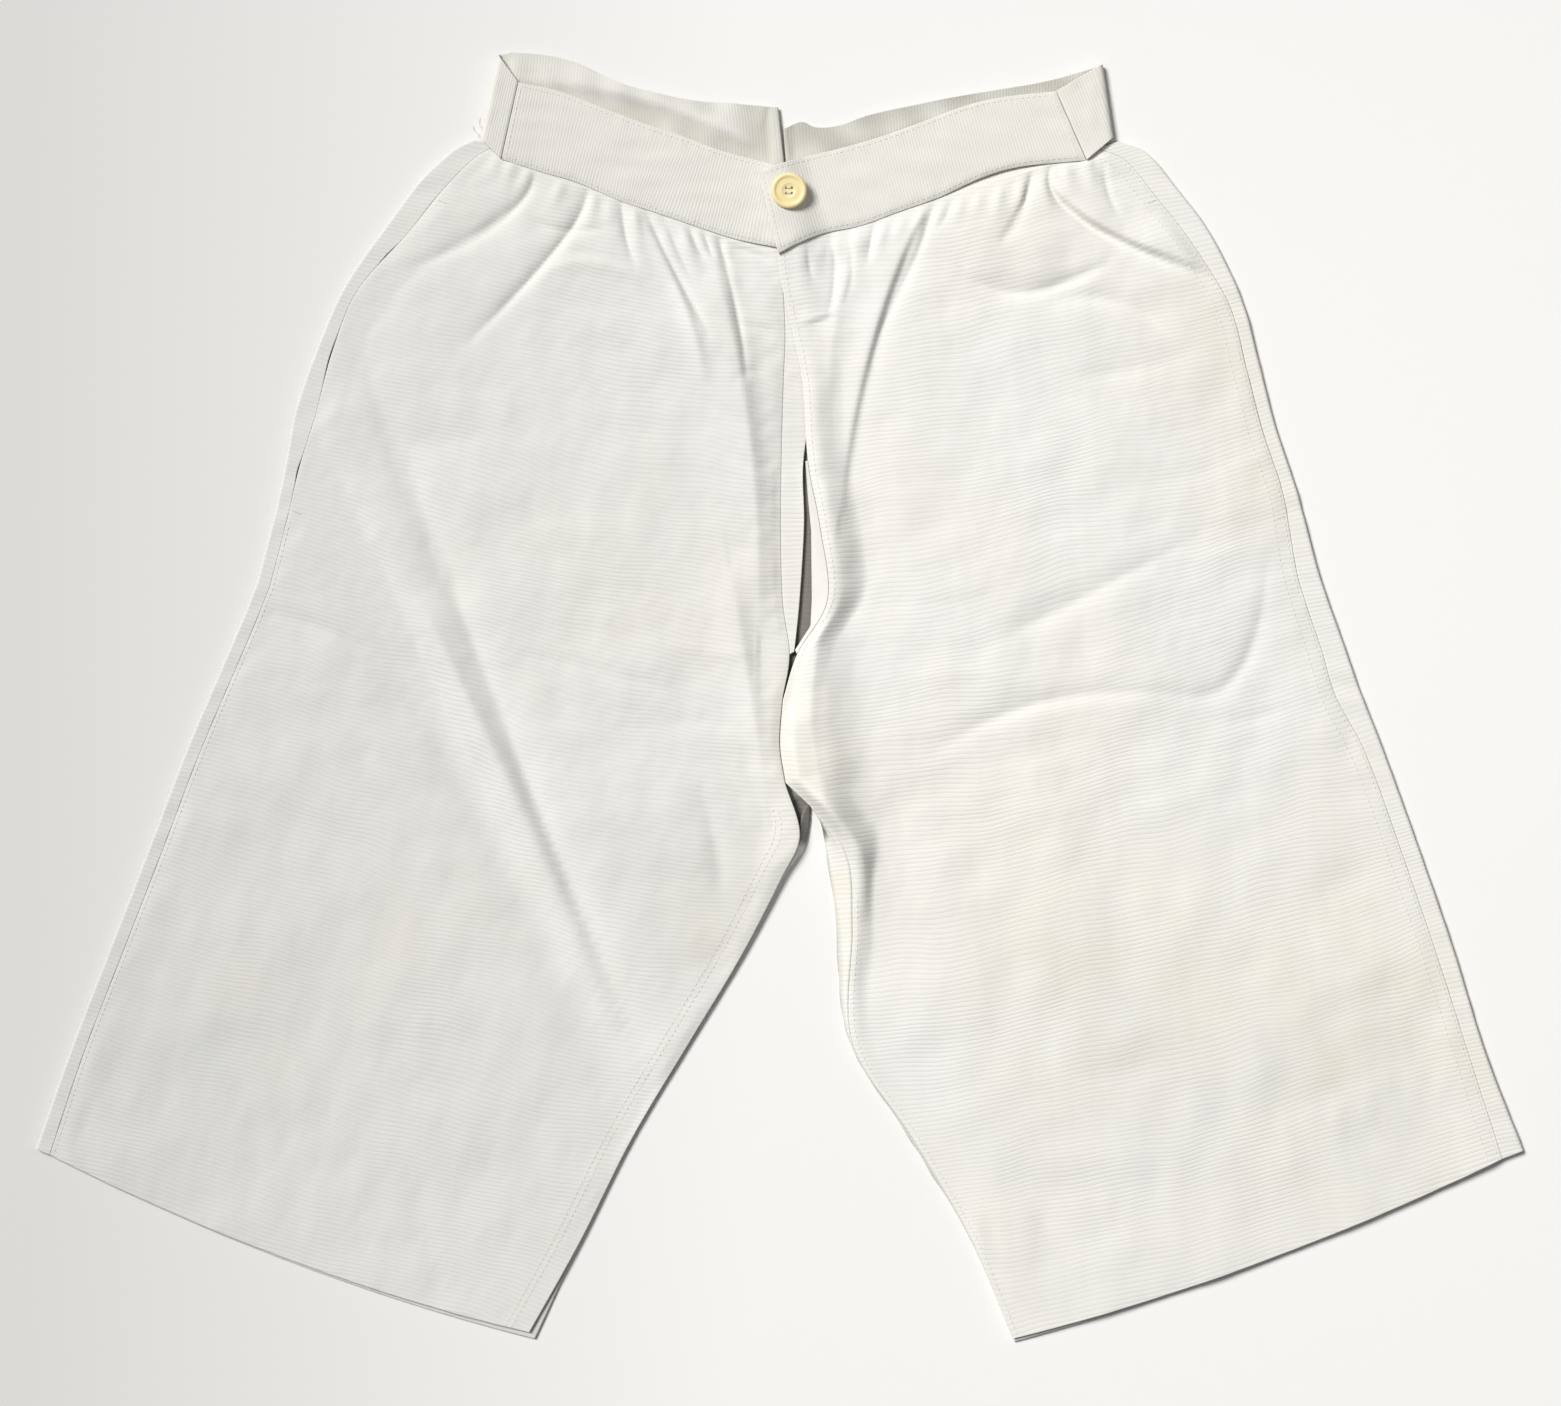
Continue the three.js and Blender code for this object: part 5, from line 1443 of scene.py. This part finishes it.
# Radius and height from the middle, from the underside round to the dish.
BUTTON_PROFILE = (
    (0.0, -1.3),
    (8.4, -1.3),
    (9.3, -1.1),
    (9.8, -0.6),
    (10.0, 0.0),
    (9.85, 0.6),
    (9.4, 1.05),
    (8.8, 1.3),
    (8.2, 1.25),
    (7.6, 1.0),
    (7.1, 0.68),
    (6.6, 0.62),
    (4.4, 0.62),
    (4.0, 0.66),
    (3.6, 0.46),
    (3.2, 0.28),
    (0.0, 0.24),
)
BUTTON_SEGMENTS = 96
HOLE_OFFSET = 1.5
HOLE_RADIUS = 0.75


def button_disc(name, base):
    """The dished button, turned from its profile."""
    points = []
    for radius, height in BUTTON_PROFILE[1:-1]:
        for k in range(BUTTON_SEGMENTS):
            angle = math.tau * k / BUTTON_SEGMENTS
            points.append((radius * math.cos(angle), radius * math.sin(angle), height))
    last_ring = len(BUTTON_PROFILE) - 3
    faces = []
    for i in range(last_ring):
        for a, b in ring_sides(i):
            faces.append((a, b, b + BUTTON_SEGMENTS, a + BUTTON_SEGMENTS))
    for ring, height in ((0, BUTTON_PROFILE[0][1]), (last_ring, BUTTON_PROFILE[-1][1])):
        centre = len(points)
        points.append((0.0, 0.0, height))
        for a, b in ring_sides(ring):
            faces.append((a, b, centre) if ring else (b, a, centre))
    placed = np.array(points) + np.array([*BUTTON_AT, base + BUTTON_THICKNESS / 2])
    return make_object(name, placed * MM, faces)


def ring_sides(ring):
    """Both ends of each side of one of the button's rings."""
    start = ring * BUTTON_SEGMENTS
    return [(start + k, start + (k + 1) % BUTTON_SEGMENTS) for k in range(BUTTON_SEGMENTS)]


# ---------------------------------------------------------------- making the garment

materials = {
    "ribbed_cotton": ribbed_finish("ribbed_cotton", RIB_PITCH, CLOTH_WHITE),
    "band_cotton": ribbed_finish("band_cotton", BAND_RIB_PITCH, BAND_WHITE),
    "band_inside_right": ribbed_finish("band_inside_right", BAND_RIB_PITCH, BAND_WHITE, BAND_PAINTED_SHADE_RIGHT),
    "band_inside_left": ribbed_finish("band_inside_left", BAND_RIB_PITCH, BAND_WHITE, BAND_PAINTED_SHADE_LEFT),
    "plain_cotton": plain_finish("plain_cotton"),
    "sewing_thread": thread_finish("sewing_thread"),
    "button_cream": button_finish("button_cream"),
}


def dress(piece, material, slot=None, node=None):
    """Gives a piece its material and body, and hides the solid that it stands for if it has one. slot is not
    used.
    """
    piece.data.materials.append(materials[material])
    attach(piece, "root")
    if node:
        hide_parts(node)
    return piece


front_right, right_skin = front_panel("front_right_cloth", right_leg)
front_left, left_skin = front_panel("front_left_cloth", left_leg)
back_right = back_panel("back_right_cloth", right_leg)
back_left = back_panel("back_left_cloth", left_leg)
front_band_right, right_band_skin = front_band("waistband_front_right_cloth", right_leg, FRONT_BAND_RIGHT, 61)
front_band_left, left_band_skin = front_band("waistband_front_left_cloth", left_leg, FRONT_BAND_LEFT, 71)
back_band_right = back_band("waistband_back_right_cloth", right_leg, BACK_BAND_RIGHT, 81)
back_band_left = back_band("waistband_back_left_cloth", left_leg, BACK_BAND_LEFT, 91)
stand = fly_stand("fly_stand_cloth")
facing = fly_facing("fly_facing_cloth")
bag_right = pocket_bag("pocket_bag_right_cloth", RIGHT_BAG)
bag_left = pocket_bag("pocket_bag_left_cloth", LEFT_BAG)

button_base = float(band_level(left_leg, BUTTON_AT[0])) + BAND_WALL + GAP
button = button_disc("button_disc", button_base)

PIECES = table(
    "piece material slot node",
    (front_right, "ribbed_cotton", "ribbed_cotton", "front_right"),
    (front_left, "ribbed_cotton", "ribbed_cotton", "front_left"),
    (back_right, "ribbed_cotton", "ribbed_cotton", "back_right"),
    (back_left, "ribbed_cotton", "ribbed_cotton", "back_left"),
    (stand, "ribbed_cotton", "ribbed_cotton", "fly_stand"),
    (front_band_right, "band_cotton", "band_cotton", "waistband_front_right"),
    (front_band_left, "band_cotton", "band_cotton", "waistband_front_left"),
    (back_band_right, "band_inside_right", "band_cotton", "waistband_back_right"),
    (back_band_left, "band_inside_left", "band_cotton", "waistband_back_left"),
    (facing, "plain_cotton", "plain_cotton", "fly_facing"),
    (bag_right, "plain_cotton", "plain_cotton", "pocket_bag_right"),
    (bag_left, "plain_cotton", "plain_cotton", "pocket_bag_left"),
    (button, "button_cream", "button_cream", "button"),
)
for piece in PIECES:
    dress(**piece)

# ---------------------------------------------------------------- stitching


def sew(name, tubes):
    return dress(joined(name, tubes), "sewing_thread")


right_front_stitches = sew(
    "front_right_stitching",
    leg_seam(right_leg, right_skin, from_inner=11, rows=(10.6, 17))
    + leg_seam(right_leg, right_skin, from_inner=14.5, rows=(10.6, 17))
    + leg_seam(right_leg, right_skin, from_side=2, rows=(8.2, 17))
    + bar_tack(right_skin, right_leg, 2.2)
    + bar_tack(right_skin, right_leg, 8),
)
left_front_stitches = sew(
    "front_left_stitching",
    leg_seam(left_leg, left_skin, from_side=2, rows=(0.3, 17))
    + leg_seam(left_leg, left_skin, from_side=8, rows=(0.3, 17))
    + leg_seam(left_leg, left_skin, from_inner=3.5, rows=(0.2, 7.4))
    + leg_seam(left_leg, left_skin, from_inner=3, rows=(12.6, 17))
    + bar_tack(left_skin, left_leg, 2)
    + bar_tack(left_skin, left_leg, 7.6),
)
right_band_stitches = sew("waistband_front_right_stitching", band_seams(right_band_skin))
left_band_stitches = sew("waistband_front_left_stitching", band_seams(left_band_skin))
dish = button_base + BUTTON_THICKNESS / 2 + BUTTON_PROFILE[-1][1]
button_thread = sew("button_thread", button_threads(dish))
thread_ends = sew(
    "thread_ends",
    [
        loose_thread((-164, 316, 5.2), (-166.5, 318, 4.6), (-169, 321, 1.4), (-168, 325, 0.4)),
        loose_thread((-163, 314, 5.4), (-168, 314.5, 4), (-171, 317, 0.6), (-172, 320, 0.3)),
    ],
)

# ---------------------------------------------------------------- the table

TABLE_HALF = 4.0
TABLE_CLEAR = 0.2
table_corners = [(x * TABLE_HALF, y * TABLE_HALF, 0) for x, y in ((-1, -1), (1, -1), (1, 1), (-1, 1))]
floor = make_object("table_top", table_corners, [(0, 1, 2, 3)])
floor.location.z = -TABLE_CLEAR * MM
floor.data.materials.append(table_finish("table_top"))

# ---------------------------------------------------------------- camera and light

CAMERA_HEIGHT = 2.0
VIEW_WIDTH = 0.874  # what the camera sees of the table
CAMERA_SHIFT = (0.0003, -0.0031)
SENSOR = 36.0


def make_camera():
    camera = bpy.data.cameras.new("camera")
    camera.sensor_width = SENSOR
    camera.lens = SENSOR * CAMERA_HEIGHT / VIEW_WIDTH
    holder = bpy.data.objects.new("camera", camera)
    holder.location = (*CAMERA_SHIFT, CAMERA_HEIGHT)
    bpy.context.scene.collection.objects.link(holder)
    bpy.context.scene.camera = holder


def make_light(name, kind, place, energy, settings):
    """A light that shines on the garment's middle."""
    light = bpy.data.lights.new(name, kind)
    light.energy = energy
    for setting, value in settings.items():
        setattr(light, setting, value)
    holder = bpy.data.objects.new(name, light)
    holder.location = place
    holder.rotation_euler = (-Vector(place)).to_track_quat("-Z", "Y").to_euler()
    bpy.context.scene.collection.objects.link(holder)


def make_world(strength, colour):
    world = bpy.data.worlds.new("room")
    world.use_nodes = True
    background = world.node_tree.nodes["Background"]
    background.inputs["Color"].default_value = colour
    background.inputs["Strength"].default_value = strength
    bpy.context.scene.world = world


KEY_SPREAD = math.radians(22)
LIGHTS = table(
    "name kind place energy settings",
    ("key", "SUN", (-0.75, 0.61, 1.06), 3.8, {"angle": KEY_SPREAD, "color": (1.0, 0.985, 0.965)}),
    ("fill", "AREA", (0.24, 0.1, 0.62), 0.4, {"shape": "DISK", "size": 0.6, "color": (1.0, 0.995, 0.98)}),
)

make_camera()
for light in LIGHTS:
    make_light(**light)
make_world(0.15, (0.97, 0.98, 1.0, 1))
bpy.context.scene.view_settings.view_transform = "Standard"
